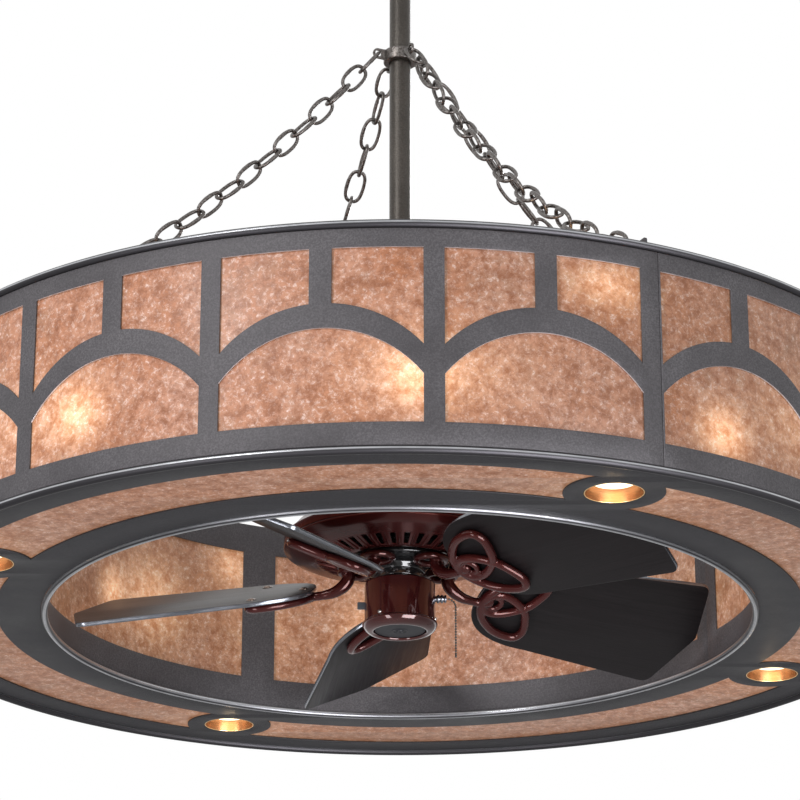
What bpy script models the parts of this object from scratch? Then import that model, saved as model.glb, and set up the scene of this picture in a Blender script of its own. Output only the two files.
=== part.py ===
"""Downrod ceiling fan that hangs inside a ring-shaped mica drum, all on one downrod.

Metres, +Z up. The origin is the middle of the ceiling bracket's top face, so the fan hangs at
negative z. Heights named "_height" are measured up from the underside of the drum's floor.
"""

import math

import bmesh
import bpy
from mathutils import Matrix, Vector

# Shared clearances and how finely round things are faceted.
CLEARANCE = 0.0003
OVERRUN = 0.004
RING_FACETS = 32
MOTOR_FACETS = 36
CUP_FACETS = 20
CAN_FACETS = 12
SMALL_FACETS = 16
PIN_FACETS = 8

# Ceiling end.
DRUM_DROP = 1.080
BRACKET_THICKNESS = 0.003
BALL_RADIUS = 0.028
BALL_DROP = 0.040
BALL_ABOVE = 0.018
BALL_BELOW = 0.022
BALL_SEAT_GAP = 0.0005
SEAT_WALL = 0.005
SEAT_OPENING_RADIUS = 0.020
SEAT_HEIGHT = 0.012
STRAP_WIDTH = 0.026
STRAP_THICKNESS = 0.004
CEILING_SCREW_SPREAD = 0.089
CEILING_SCREW_RADIUS = 0.0025
CANOPY_RADIUS = 0.070
CANOPY_DEPTH = 0.078
CANOPY_MOUTH_RADIUS = 0.030
CANOPY_WALL = 0.0012

# Downrod: three-quarter inch pipe.
ROD_RADIUS = 0.01335
ROD_WALL = 0.0028
ROD_TOP_ABOVE_BALL = 0.016
ROD_PIN_RADIUS = 0.003
BALL_PIN_LENGTH = 0.044
BALL_PIN_DROP = 0.006

# Chain collar on the downrod, and the four chains.
COLLAR_HEIGHT = 0.742
COLLAR_LENGTH = 0.016
COLLAR_RADIUS = 0.021
EAR_THICKNESS = 0.003
EAR_HOLE_RADIUS = 0.0045
EAR_HOLE_REACH = 0.031
EAR_REACH = 0.038
SET_SCREW_RADIUS = 0.0025
SET_SCREW_HEAD = 0.004
CHAIN_COUNT = 4
CHAIN_WIRE_RADIUS = 0.002
CHAIN_PITCH = 0.0362
CHAIN_LINK_WIDTH = 0.026
CHAIN_BITE = 0.001
CHAIN_SAG = 0.058

# Drum wall: rolled sheet with arched windows between two round rim rods.
WALL_RADIUS = 0.607
WALL_THICKNESS = 0.002
RIM_ROD_RADIUS = 0.00475
BOTTOM_RIM_HEIGHT = -0.0005
TOP_RIM_HEIGHT = 0.251
FIRST_POST_ANGLE = math.radians(3.36)
PANELS = 16
POST_WIDTH = 0.022
SHORT_POST_WIDTH = 0.024
SEAM_STRIP = 0.0025
SEAM_GAP = 0.0005
BOTTOM_RAIL = 0.02545
TOP_RAIL = 0.02145
arch_crown_share, arch_spring_share = 0.54, 0.2725
arch_top_crown_share, arch_top_spring_share = 0.684, 0.442
ARCH_STEPS = 3
LUG_THICKNESS = 0.003
LUG_DEPTH = 0.018
LUG_RISE = 0.018
LUG_HOLE_RADIUS = 0.0045
LUG_HOLE_INSET = 0.012
LUG_ROOT = 0.008
LUG_HOLE_DOWN = 0.008
MICA_THICKNESS = 0.0012
MICA_LAP = 0.006

# Drum floor and inner wall.
FLOOR_THICKNESS = 0.002
RING_WIDTH = 0.1845
FLOOR_INNER_BORDER = 0.0527
FLOOR_OUTER_BORDER = 0.04145
FLOOR_MICA_BORDER = 0.020
INNER_RIM_ROD_RADIUS = 0.004
INNER_WALL_THICKNESS = 0.002
INNER_WALL_BELOW_RIM = 0.001
INNER_BOTTOM_RAIL = 0.0387
INNER_TOP_RAIL = 0.0385
INNER_POST_WIDTH = 0.046

# Lights.
LIGHT_COUNT = 4
LIGHT_PAD_LAP = 0.0145
LIGHT_HOLE_RADIUS = 0.033
CAN_RADIUS = 0.0326
CAN_WALL = 0.0012
CAN_TOP_HEIGHT = 0.075
CAN_FLANGE_RADIUS = 0.039
CAN_FLANGE_THICKNESS = 0.0015
CAN_VENT_RADIUS = 0.012
LAMP_FACE_HEIGHT = 0.012
LAMP_FACE_RADIUS = 0.025
LAMP_RIM = 0.005
LAMP_NECK_RADIUS = 0.013
LAMP_NECK_HEIGHT = 0.048
BULB_COUNT = 8
RACEWAY_HEIGHT = 0.130
RACEWAY_SIZE = 0.016
SOCKET_RADIUS = 0.013
SOCKET_LENGTH = 0.030
BULB_RADIUS = 0.021
BULB_SEAT = 0.0016

# Fan motor and housings.
SHAFT_RADIUS = 0.008
SHAFT_BORE = 0.005
SHAFT_TAIL = 0.008
COUPLING_RADIUS = 0.019
COUPLING_FLANGE_RADIUS = 0.032
COUPLING_FLANGE = 0.004
COUPLING_SHAFT_DEPTH = 0.016
COUPLING_FLOOR = 0.003
COUPLING_ROD_DEPTH = 0.037
COUPLING_BOLT_UP = 0.022
COUPLING_BOLT_RADIUS = 0.003
COUPLING_BOLT_LENGTH = 0.048
COVER_RADIUS = 0.040
COVER_HEIGHT = 0.066
COVER_WALL = 0.0012
HOUSING_RADIUS = 0.140
HOUSING_WALL = 0.0012
HOUSING_RIM_BELOW_MOTOR = 0.017
HOUSING_HEADROOM = 0.015
HOUSING_BAND = 0.011
HOUSING_NECK_RADIUS = 0.020
HOUSING_CROWN_RADIUS = 0.062
BOWL_DEPTH = 0.0208
BOWL_BAND = 0.003
BOWL_SHOULDER_INSET = 0.012
BOWL_SHOULDER_DROP = 0.0085
BOWL_CONE_OUTER_RADIUS = 0.105
BOWL_CONE_DROP = 0.013
BOWL_CONE_INNER_RADIUS = 0.0755
VENT_OUTER_RADIUS = 0.102
VENT_INNER_RADIUS = 0.0785
VENT_COUNT = 36
VENT_WIDTH = 0.0065
BOWL_MOUTH_RADIUS = 0.069
STATOR_RADIUS = 0.062
STATOR_THICKNESS = 0.020
MOTOR_HEIGHT = 0.110
WINDING_OUTER_RADIUS = 0.057
WINDING_INNER_RADIUS = 0.040
WINDING_RISE = 0.006
ROTOR_RADIUS = 0.070
ROTOR_WALL = 0.004
ROTOR_HALF_HEIGHT = 0.024
BEARING_RADIUS = 0.018
BEARING_WIDTH = 0.007
BEARING_SEAT_GAP = 0.0001
FLYWHEEL_RADIUS = 0.060
FLYWHEEL_THICKNESS = 0.0057
FLYWHEEL_BELOW_BOWL = 0.0019
FLYWHEEL_CORE_RADIUS = 0.030
FLYWHEEL_CORE_DROP = 0.0198
RUNNING_GAP = 0.0008

# Blades and their irons.
BLADE_COUNT = 5
FIRST_BLADE_ANGLE = math.radians(168.8)
BLADE_PITCH = math.radians(26)
BLADE_DROOP = math.radians(2.7)
BLADE_DROP = 0.0188
BLADE_THICKNESS = 0.0055
BLADE_ROOT_REACH = 0.105
BLADE_SHOULDER_REACH = 0.200
BLADE_TIP_LENGTH = 0.026
BLADE_TIP_GAP = 0.0125
BLADE_SHOULDER_HALF = 0.074
BLADE_CORNER_HALF = 0.0905
BLADE_CORNER_CUT = 0.010
IRON_WIRE_RADIUS = 0.005
IRON_ARM_RADIUS = 0.0065
IRON_INNER_SCREW_REACH = 0.118
IRON_OUTER_SCREW_REACH = 0.173
IRON_SCREW_HALF = 0.050
IRON_BOSS_RADIUS = 0.008
IRON_RING_RADIUS = 0.009
IRON_FOOT_REACH = 0.055
IRON_FOOT_HALF_LENGTH = 0.017
IRON_FOOT_HALF_WIDTH = 0.018
IRON_FOOT_WIRE_RADIUS = 0.0045
IRON_ARM_START_REACH = 0.066

# Switch housing below the motor.
SWITCH_GAP = 0.0025
SWITCH_DEPTH = 0.061
SWITCH_RADIUS = 0.0425
SWITCH_BEAD_RADIUS = 0.0458
SWITCH_BEAD_RISE = 0.010
SWITCH_BEAD_HALF = 0.003
SWITCH_MOUTH_RADIUS = 0.0325
SWITCH_WALL = 0.0012
CAP_THICKNESS = 0.002
CAP_PLUG_RADIUS = 0.0045
CAP_PLUG_DEPTH = 0.0015
NIPPLE_RADIUS = 0.0042
NIPPLE_DOWN = 0.019
NIPPLE_REACH = 0.054
NIPPLE_BORE = 0.0018
PULL_BODY_DEPTH = 0.014
PULL_BODY_WIDTH = 0.012
PULL_BODY_HEIGHT = 0.016
PULL_CHAIN_RADIUS = 0.0012
PULL_CHAIN_OUT = 0.0125
PULL_CHAIN_DROP = 0.073
LEVER_DOWN = 0.0275
LEVER_REACH = 0.051
LEVER_WIDTH = 0.005
LEVER_DEPTH = 0.0085
LEVER_TRAVEL = 0.006
REVERSE_BODY_DEPTH = 0.010
REVERSE_BODY_WIDTH = 0.014
REVERSE_BODY_HEIGHT = 0.026

# Finishes: base colour, roughness, metallic.
BRONZE = ("dark_bronze", (0.055, 0.05, 0.052), 0.45, 0.6)
MICA = ("amber_mica", (0.78, 0.42, 0.24), 0.5, 0.0)
MAHOGANY = ("mahogany_gloss", (0.12, 0.018, 0.014), 0.18, 0.1)
CHARCOAL = ("charcoal_blade", (0.03, 0.03, 0.032), 0.5, 0.0)
BLACK = ("black_iron", (0.012, 0.012, 0.012), 0.4, 0.4)
STEEL = ("bright_steel", (0.6, 0.6, 0.58), 0.3, 1.0)
COPPER = ("winding_copper", (0.5, 0.2, 0.08), 0.4, 0.8)
LIT_GLASS = ("lamp_glass", (0.95, 0.86, 0.7), 0.15, 0.0)
REFLECTOR = ("can_copper", (0.45, 0.22, 0.08), 0.25, 0.9)

# Places that several pieces share.
FLOOR_Z = -DRUM_DROP
QUARTER = math.tau / CHAIN_COUNT
POST_PITCH = math.tau / PANELS
FIRST_QUARTER_ANGLE = FIRST_POST_ANGLE + POST_PITCH
WALL_INNER_RADIUS = WALL_RADIUS - WALL_THICKNESS / 2
WALL_BOTTOM_HEIGHT = BOTTOM_RIM_HEIGHT + RIM_ROD_RADIUS + CLEARANCE
WALL_TOP_HEIGHT = TOP_RIM_HEIGHT - RIM_ROD_RADIUS - CLEARANCE
WINDOW_BOTTOM_HEIGHT = WALL_BOTTOM_HEIGHT + BOTTOM_RAIL
TOP_RAIL_BOTTOM_HEIGHT = WALL_TOP_HEIGHT - TOP_RAIL
WINDOW_RISE = TOP_RAIL_BOTTOM_HEIGHT - WINDOW_BOTTOM_HEIGHT
ARCH_CROWN_HEIGHT = WINDOW_BOTTOM_HEIGHT + WINDOW_RISE * arch_crown_share
ARCH_SPRING_HEIGHT = WINDOW_BOTTOM_HEIGHT + WINDOW_RISE * arch_spring_share
ARCH_TOP_CROWN_HEIGHT = WINDOW_BOTTOM_HEIGHT + WINDOW_RISE * arch_top_crown_share
ARCH_TOP_SPRING_HEIGHT = WINDOW_BOTTOM_HEIGHT + WINDOW_RISE * arch_top_spring_share
LUG_TOP_HEIGHT = WALL_TOP_HEIGHT + LUG_RISE
OUTER_MICA_RADIUS = WALL_INNER_RADIUS - CLEARANCE
OUTER_MICA_TOP_HEIGHT = TOP_RAIL_BOTTOM_HEIGHT + MICA_LAP
FLOOR_OUTER_RADIUS = WALL_RADIUS - RIM_ROD_RADIUS - CLEARANCE
INNER_RIM_RADIUS = WALL_RADIUS - RING_WIDTH
FLOOR_INNER_RADIUS = INNER_RIM_RADIUS + INNER_RIM_ROD_RADIUS + CLEARANCE
FLOOR_WINDOW_RADII = (FLOOR_OUTER_RADIUS - FLOOR_OUTER_BORDER, FLOOR_INNER_RADIUS + FLOOR_INNER_BORDER)
LIGHT_CIRCLE_RADIUS = sum(FLOOR_WINDOW_RADII) / 2
LIGHT_PAD_RADIUS = (FLOOR_WINDOW_RADII[0] - FLOOR_WINDOW_RADII[1]) / 2 + LIGHT_PAD_LAP
ON_FLOOR_HEIGHT = FLOOR_THICKNESS + CLEARANCE
INNER_WALL_TOP_HEIGHT = TOP_RIM_HEIGHT - INNER_WALL_BELOW_RIM
INNER_WINDOW_BOTTOM_HEIGHT = ON_FLOOR_HEIGHT + INNER_BOTTOM_RAIL
INNER_WINDOW_TOP_HEIGHT = INNER_WALL_TOP_HEIGHT - INNER_TOP_RAIL
INNER_WALL_RADIUS = FLOOR_INNER_RADIUS + INNER_WALL_THICKNESS / 2
INNER_MICA_RADIUS = INNER_WALL_RADIUS + INNER_WALL_THICKNESS / 2 + CLEARANCE
RACEWAY_RADIUS = INNER_MICA_RADIUS + MICA_THICKNESS + CLEARANCE
SOCKET_END_RADIUS = RACEWAY_RADIUS + RACEWAY_SIZE + SOCKET_LENGTH
BULB_CIRCLE_RADIUS = SOCKET_END_RADIUS + BULB_RADIUS - BULB_SEAT
BLADE_TIP_REACH = INNER_RIM_RADIUS - INNER_RIM_ROD_RADIUS - BLADE_TIP_GAP
BLADE_CORNER_REACH = BLADE_TIP_REACH - BLADE_TIP_LENGTH
EYE_HEIGHT = COLLAR_HEIGHT + COLLAR_LENGTH / 2
LUG_OUTER_RADIUS = WALL_RADIUS - RIM_ROD_RADIUS - CLEARANCE
LUG_HOLE_CIRCLE_RADIUS = LUG_OUTER_RADIUS - LUG_HOLE_INSET
LUG_HOLE_HEIGHT = LUG_TOP_HEIGHT - LUG_HOLE_DOWN
BALL_Z = -BALL_DROP
HOUSING_RIM_HEIGHT = MOTOR_HEIGHT - HOUSING_RIM_BELOW_MOTOR
HOUSING_TOP_HEIGHT = MOTOR_HEIGHT + ROTOR_HALF_HEIGHT + HOUSING_HEADROOM
COUPLING_FLOOR_HEIGHT = HOUSING_TOP_HEIGHT + CLEARANCE + COUPLING_SHAFT_DEPTH
ROD_BOTTOM_HEIGHT = COUPLING_FLOOR_HEIGHT + COUPLING_FLOOR + CLEARANCE
BOWL_MOUTH_HEIGHT = HOUSING_RIM_HEIGHT - BOWL_DEPTH
FLYWHEEL_HEIGHT = BOWL_MOUTH_HEIGHT - FLYWHEEL_BELOW_BOWL
FLYWHEEL_CORE_BOTTOM_HEIGHT = FLYWHEEL_HEIGHT - FLYWHEEL_CORE_DROP
BLADE_HEIGHT = FLYWHEEL_HEIGHT - BLADE_DROP
SWITCH_TOP_HEIGHT = FLYWHEEL_CORE_BOTTOM_HEIGHT - SWITCH_GAP
SHAFT_BOTTOM_HEIGHT = SWITCH_TOP_HEIGHT - SHAFT_TAIL
SWITCH_BOTTOM_HEIGHT = SWITCH_TOP_HEIGHT - SWITCH_DEPTH
SWITCH_BEAD_HEIGHT = SWITCH_BOTTOM_HEIGHT + SWITCH_BEAD_RISE
NIPPLE_HEIGHT = SWITCH_TOP_HEIGHT - NIPPLE_DOWN
LEVER_HEIGHT = SWITCH_TOP_HEIGHT - LEVER_DOWN


def clear_scene():
    for item in list(bpy.data.objects):
        bpy.data.objects.remove(item)


def new_collection(name):
    made = bpy.data.collections.new(name)
    bpy.context.scene.collection.children.link(made)
    return made


clear_scene()
PARTS = new_collection("downrod_fan_chandelier")
CUTTERS = new_collection("cutters")


def finish_of(finish):
    name, colour, roughness, metallic = finish
    found = bpy.data.materials.get(name)
    if found:
        return found
    made = bpy.data.materials.new(name)
    made.use_nodes = True
    shader = made.node_tree.nodes["Principled BSDF"]
    shader.inputs["Base Color"].default_value = (*colour, 1)
    shader.inputs["Roughness"].default_value = roughness
    shader.inputs["Metallic"].default_value = metallic
    made.diffuse_color = (*colour, 1)
    return made


def add(name, mesh, finish):
    """A part made from a mesh, in the parts' collection."""
    made = bpy.data.objects.new(name, mesh)
    mesh.materials.clear()
    mesh.materials.append(finish_of(finish))
    PARTS.objects.link(made)
    return made


def as_helper(item):
    """Hides a cutter or a shape that a union takes up."""
    for owner in list(item.users_collection):
        owner.objects.unlink(item)
    CUTTERS.objects.link(item)
    item.hide_render = True
    item.display_type = "WIRE"
    return item


def boolean(item, other, operation):
    made = item.modifiers.new(operation.lower(), "BOOLEAN")
    made.object = as_helper(other)
    made.operation = operation
    made.solver = "EXACT"
    return item


def cut(item, *others):
    for other in others:
        boolean(item, other, "DIFFERENCE")
    return item


def join(item, *others):
    for other in others:
        boolean(item, other, "UNION")
    return item


def settled(item):
    """The object's mesh with its modifiers worked out and loose caps welded."""
    bpy.context.view_layer.update()
    graph = bpy.context.evaluated_depsgraph_get()
    mesh = bpy.data.meshes.new_from_object(item.evaluated_get(graph))
    shape = bmesh.new()
    shape.from_mesh(mesh)
    bmesh.ops.remove_doubles(shape, verts=shape.verts, dist=CLEARANCE / 100)
    shape.to_mesh(mesh)
    shape.free()
    return mesh


def smooth(mesh, angle=math.radians(40)):
    mesh.shade_smooth()
    mesh.set_sharp_from_angle(angle=angle)
    return mesh


def replaced(item):
    """The object made into a plain mesh object of the same name and place."""
    mesh = settled(item)
    finish = item.data.materials[0]
    name = item.name
    place = item.matrix_world.copy()
    bpy.data.objects.remove(item)
    made = bpy.data.objects.new(name, mesh)
    mesh.materials.clear()
    mesh.materials.append(finish)
    PARTS.objects.link(made)
    made.matrix_world = place
    return made


def up(height):
    """World z of a height above the underside of the drum's floor."""
    return FLOOR_Z + height


def around(angle, radius, z):
    return Vector((radius * math.cos(angle), radius * math.sin(angle), z))


def turned(name, profile, facets, finish, turn=0.0):
    """A solid of revolution about Z. A profile that starts and ends on the axis is left open."""
    area = sum(a[0] * b[1] - b[0] * a[1] for a, b in zip(profile, profile[1:] + profile[:1]))
    points = list(profile) if area < 0 else list(reversed(profile))
    on_axis = points[0][0] == 0 and points[-1][0] == 0
    if not on_axis and any(r == 0 for r, _ in points):
        start = next(i for i in range(len(points)) if points[i - 1][0] == 0 and points[i][0] == 0)
        points = points[start:] + points[:start]
        on_axis = True
    mesh = bpy.data.meshes.new(name)
    edges = [(i, i + 1) for i in range(len(points) - 1)]
    if not on_axis:
        edges.append((len(points) - 1, 0))
    mesh.from_pydata([(r, 0, z) for r, z in points], edges, [])
    made = add(name, mesh, finish)
    screw = made.modifiers.new("turn", "SCREW")
    screw.steps = facets
    screw.render_steps = facets
    screw.use_merge_vertices = True
    screw.merge_threshold = CLEARANCE / 10
    screw.use_smooth_shade = False
    made.rotation_euler.z = turn
    return made


def box_profile(inner, outer, bottom, top):
    return [(outer, top), (outer, bottom), (inner, bottom), (inner, top)]


def skin_profile(outline, wall):
    """A closed profile from an outer line and the same line moved in by the wall."""
    moved = []
    for i, here in enumerate(outline):
        normals = []
        for a, b in ((i - 1, i), (i, i + 1)):
            if a < 0 or b >= len(outline):
                continue
            along = (Vector(outline[b]) - Vector(outline[a])).normalized()
            normals.append(Vector((along.y, -along.x)))
        if len(normals) == 1:
            offset = normals[0] * wall
        else:
            middle = (normals[0] + normals[1]).normalized()
            offset = middle * (wall / middle.dot(normals[0]))
        moved.append(tuple(Vector(here) + offset))
    return list(outline) + list(reversed(moved))


def ring_rod(name, radius, height, rod_radius, finish):
    """A round rod rolled into a ring."""
    sides = 6
    profile = [
        (
            radius + rod_radius * math.cos(math.tau * (i + 0.5) / sides),
            up(height) + rod_radius * math.sin(math.tau * (i + 0.5) / sides),
        )
        for i in range(sides)
    ]
    return turned(name, profile, RING_FACETS, finish, FIRST_POST_ANGLE)


def rod(name, start, end, radius, facets, finish):
    """A round bar between two points."""
    start, end = Vector(start), Vector(end)
    shape = bmesh.new()
    bmesh.ops.create_cone(
        shape, cap_ends=True, segments=facets, radius1=radius, radius2=radius, depth=(end - start).length
    )
    mesh = bpy.data.meshes.new(name)
    shape.to_mesh(mesh)
    shape.free()
    made = add(name, smooth(mesh), finish)
    turn = Vector((0, 0, 1)).rotation_difference(end - start).to_matrix().to_4x4()
    made.matrix_world = Matrix.Translation((start + end) / 2) @ turn
    return made


def block(name, size, finish, place):
    shape = bmesh.new()
    bmesh.ops.create_cube(shape, size=1, matrix=Matrix.Diagonal((*size, 1)))
    mesh = bpy.data.meshes.new(name)
    shape.to_mesh(mesh)
    shape.free()
    made = add(name, mesh, finish)
    made.matrix_world = place
    return made


def ball(name, radius, finish, place, segments=12, rings=8):
    shape = bmesh.new()
    bmesh.ops.create_uvsphere(shape, u_segments=segments, v_segments=rings, radius=radius)
    mesh = bpy.data.meshes.new(name)
    shape.to_mesh(mesh)
    shape.free()
    made = add(name, smooth(mesh), finish)
    made.matrix_world = place
    return made


def tube(name, points, radius, sides, finish, closed=False):
    """A round wire along points, as a mesh. Four sides more come with each step of resolution."""
    curve = bpy.data.curves.new(name, "CURVE")
    curve.dimensions = "3D"
    curve.bevel_depth = radius
    curve.bevel_resolution = sides
    curve.use_fill_caps = True
    spline = curve.splines.new("POLY")
    spline.points.add(len(points) - 1)
    for point, place in zip(spline.points, points):
        point.co = (*place, 1)
    spline.use_cyclic_u = closed
    curve.materials.append(finish_of(finish))
    made = bpy.data.objects.new(name, curve)
    PARTS.objects.link(made)
    return replaced(made)


def flat(name, outlines, thickness, finish):
    """A flat sheet in XY, of the first outline with the others as holes, as a mesh."""
    curve = bpy.data.curves.new(name, "CURVE")
    curve.dimensions = "2D"
    curve.fill_mode = "BOTH"
    curve.extrude = thickness / 2
    for outline in outlines:
        spline = curve.splines.new("POLY")
        spline.points.add(len(outline) - 1)
        for point, (x, y) in zip(spline.points, outline):
            point.co = (x, y, 0, 1)
        spline.use_cyclic_u = True
    curve.materials.append(finish_of(finish))
    made = bpy.data.objects.new(name, curve)
    PARTS.objects.link(made)
    return replaced(made)


def circle_points(centre, radius, steps):
    return [
        (
            centre[0] + radius * math.cos(math.tau * i / steps),
            centre[1] + radius * math.sin(math.tau * i / steps),
        )
        for i in range(steps)
    ]


def make_ceiling_bracket():
    """Steel plate on the ceiling, with two straps down to the cup that the hanger ball sits in."""
    plate_radius = CANOPY_RADIUS - CANOPY_WALL - CLEARANCE
    edge = [(plate_radius, 0), (plate_radius, -BRACKET_THICKNESS)]
    plate = turned("ceiling_bracket", [(0, 0), *edge, (0, -BRACKET_THICKNESS)], CUP_FACETS, STEEL)
    seat_inner = BALL_RADIUS + BALL_SEAT_GAP
    seat_outer = seat_inner + SEAT_WALL
    seat_bottom = BALL_Z - math.sqrt(seat_inner**2 - SEAT_OPENING_RADIUS**2)
    seat_top = seat_bottom + SEAT_HEIGHT
    steps = 4
    low_angle = math.acos(SEAT_OPENING_RADIUS / seat_inner)
    high_angle = math.asin((BALL_Z - seat_top) / seat_inner)
    arc = [
        (seat_inner * math.cos(a), BALL_Z - seat_inner * math.sin(a))
        for a in (low_angle + (high_angle - low_angle) * i / steps for i in range(steps + 1))
    ]
    seat = turned("ball_seat", arc + [(seat_outer, seat_top), (seat_outer, seat_bottom)], CUP_FACETS, STEEL)
    strap_middle = seat_outer - STRAP_THICKNESS / 2 + BALL_SEAT_GAP
    strap_length = -seat_bottom - BRACKET_THICKNESS / 2
    straps = [
        block(
            f"strap_{side:+d}",
            (STRAP_WIDTH, STRAP_THICKNESS, strap_length),
            STEEL,
            Matrix.Translation((0, side * strap_middle, seat_bottom + strap_length / 2)),
        )
        for side in (-1, 1)
    ]
    join(plate, seat, *straps)
    for side in (-1, 1):
        place = side * CEILING_SCREW_SPREAD / 2
        hole = rod(
            "screw_hole", (place, 0, -BRACKET_THICKNESS - OVERRUN), (place, 0, OVERRUN),
            CEILING_SCREW_RADIUS, PIN_FACETS, STEEL,
        )
        cut(plate, hole)
    return plate


def make_canopy():
    """Spun steel bell that hides the bracket."""
    shoulder_share, waist_share = 0.93, 0.72
    depth_shares = (0.16, 0.46, 0.78)
    outline = [
        (CANOPY_RADIUS, -CLEARANCE),
        (CANOPY_RADIUS, -CANOPY_DEPTH * depth_shares[0]),
        (CANOPY_RADIUS * shoulder_share, -CANOPY_DEPTH * depth_shares[1]),
        (CANOPY_RADIUS * waist_share, -CANOPY_DEPTH * depth_shares[2]),
        (CANOPY_MOUTH_RADIUS, -CANOPY_DEPTH),
    ]
    inner = skin_profile(outline, CANOPY_WALL)
    return turned("canopy", inner, CUP_FACETS, BRONZE)


def make_hanger_ball():
    steps = 8
    top = math.asin(BALL_ABOVE / BALL_RADIUS)
    bottom = -math.asin(BALL_BELOW / BALL_RADIUS)
    arc = [
        (BALL_RADIUS * math.cos(a), BALL_Z + BALL_RADIUS * math.sin(a))
        for a in (top + (bottom - top) * i / steps for i in range(steps + 1))
    ]
    bore = ROD_RADIUS + CLEARANCE
    made = turned("hanger_ball", arc + [(bore, arc[-1][1]), (bore, arc[0][1])], CUP_FACETS, BLACK)
    return cut(made, ball_pin("ball_pin_hole", ROD_PIN_RADIUS + CLEARANCE, BALL_RADIUS * 2 + OVERRUN))


def ball_pin(name, radius, length):
    z = BALL_Z - BALL_PIN_DROP
    return rod(name, (-length / 2, 0, z), (length / 2, 0, z), radius, PIN_FACETS, STEEL)


def coupling_bolt_hole(name):
    z = up(ROD_BOTTOM_HEIGHT + COUPLING_BOLT_UP)
    reach = COUPLING_RADIUS + OVERRUN
    return rod(name, (-reach, 0, z), (reach, 0, z), COUPLING_BOLT_RADIUS + CLEARANCE, PIN_FACETS, STEEL)


def make_downrod():
    """Pipe from the hanger ball down to the motor coupling, cross-drilled for its two pins."""
    profile = box_profile(
        ROD_RADIUS - ROD_WALL, ROD_RADIUS, up(ROD_BOTTOM_HEIGHT), BALL_Z + ROD_TOP_ABOVE_BALL
    )
    made = turned("downrod", profile, SMALL_FACETS, BRONZE)
    pin_hole = ball_pin("rod_pin_hole", ROD_PIN_RADIUS + CLEARANCE, (ROD_RADIUS + OVERRUN) * 2)
    return cut(made, pin_hole, coupling_bolt_hole("rod_bolt_hole"))


def make_chain_collar():
    """Split collar clamped on the downrod, with an ear for each chain."""
    bottom = up(COLLAR_HEIGHT)
    profile = box_profile(ROD_RADIUS + CLEARANCE, COLLAR_RADIUS, bottom, bottom + COLLAR_LENGTH)
    made = turned("chain_collar", profile, SMALL_FACETS, BRONZE)
    middle = bottom + COLLAR_LENGTH / 2
    inset = (COLLAR_RADIUS - ROD_RADIUS) / 2
    for k in range(CHAIN_COUNT):
        turn = FIRST_QUARTER_ANGLE + k * QUARTER
        round_radius = EAR_REACH - EAR_HOLE_REACH
        outline = [
            (COLLAR_RADIUS - inset, round_radius),
            (COLLAR_RADIUS - inset, -round_radius),
        ]
        steps = 4
        outline += [
            (
                EAR_HOLE_REACH + round_radius * math.sin(math.pi * i / steps),
                -round_radius * math.cos(math.pi * i / steps),
            )
            for i in range(steps + 1)
        ]
        hole = circle_points((EAR_HOLE_REACH, 0), EAR_HOLE_RADIUS, PIN_FACETS)
        ear = flat(f"ear_{k}", [outline, hole], EAR_THICKNESS, BRONZE)
        stand = Matrix.Rotation(turn, 4, "Z") @ Matrix.Rotation(math.pi / 2, 4, "X")
        ear.matrix_world = Matrix.Translation((0, 0, middle)) @ stand
        join(made, ear)
    screw_hole = set_screw("set_screw_hole", SET_SCREW_RADIUS + CLEARANCE, COLLAR_RADIUS + OVERRUN)
    return cut(made, screw_hole)


def set_screw(name, radius, end):
    turn = FIRST_QUARTER_ANGLE + QUARTER / 2
    z = up(COLLAR_HEIGHT + COLLAR_LENGTH / 2)
    start = around(turn, ROD_RADIUS + CLEARANCE, z)
    return rod(name, start, around(turn, end, z), radius, PIN_FACETS, STEEL)


def chain_curve(share):
    """Radius and height of a chain's line, from the collar's ear to the drum's lug."""
    radius = EAR_HOLE_REACH + (LUG_HOLE_CIRCLE_RADIUS - EAR_HOLE_REACH) * share
    height = EYE_HEIGHT + (LUG_HOLE_HEIGHT - EYE_HEIGHT) * share
    return Vector((radius, height - CHAIN_SAG * 4 * share * (1 - share)))


def chain_stations():
    """Points one link pitch apart along the chain's line, an odd number of links."""
    fine = 400
    points = [chain_curve(i / fine) for i in range(fine + 1)]
    lengths = [0.0]
    for a, b in zip(points, points[1:]):
        lengths.append(lengths[-1] + (b - a).length)
    links = 2 * round((lengths[-1] / CHAIN_PITCH - 1) / 2) + 1
    stations = []
    for k in range(links + 1):
        wanted = lengths[-1] * k / links
        i = min(next(j for j in range(1, fine + 1) if lengths[j] >= wanted - CLEARANCE / 10), fine)
        part = (wanted - lengths[i - 1]) / (lengths[i] - lengths[i - 1])
        stations.append(points[i - 1].lerp(points[i], min(part, 1)))
    return stations


def link_outline(half_length, half_width):
    """A long link's centre line, six-sided, with straight noses that hook into its neighbours."""
    nose = half_width / 2
    return [
        (half_length, -nose), (half_length, nose), (0, half_width),
        (-half_length, nose), (-half_length, -nose), (0, -half_width),
    ]


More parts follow.
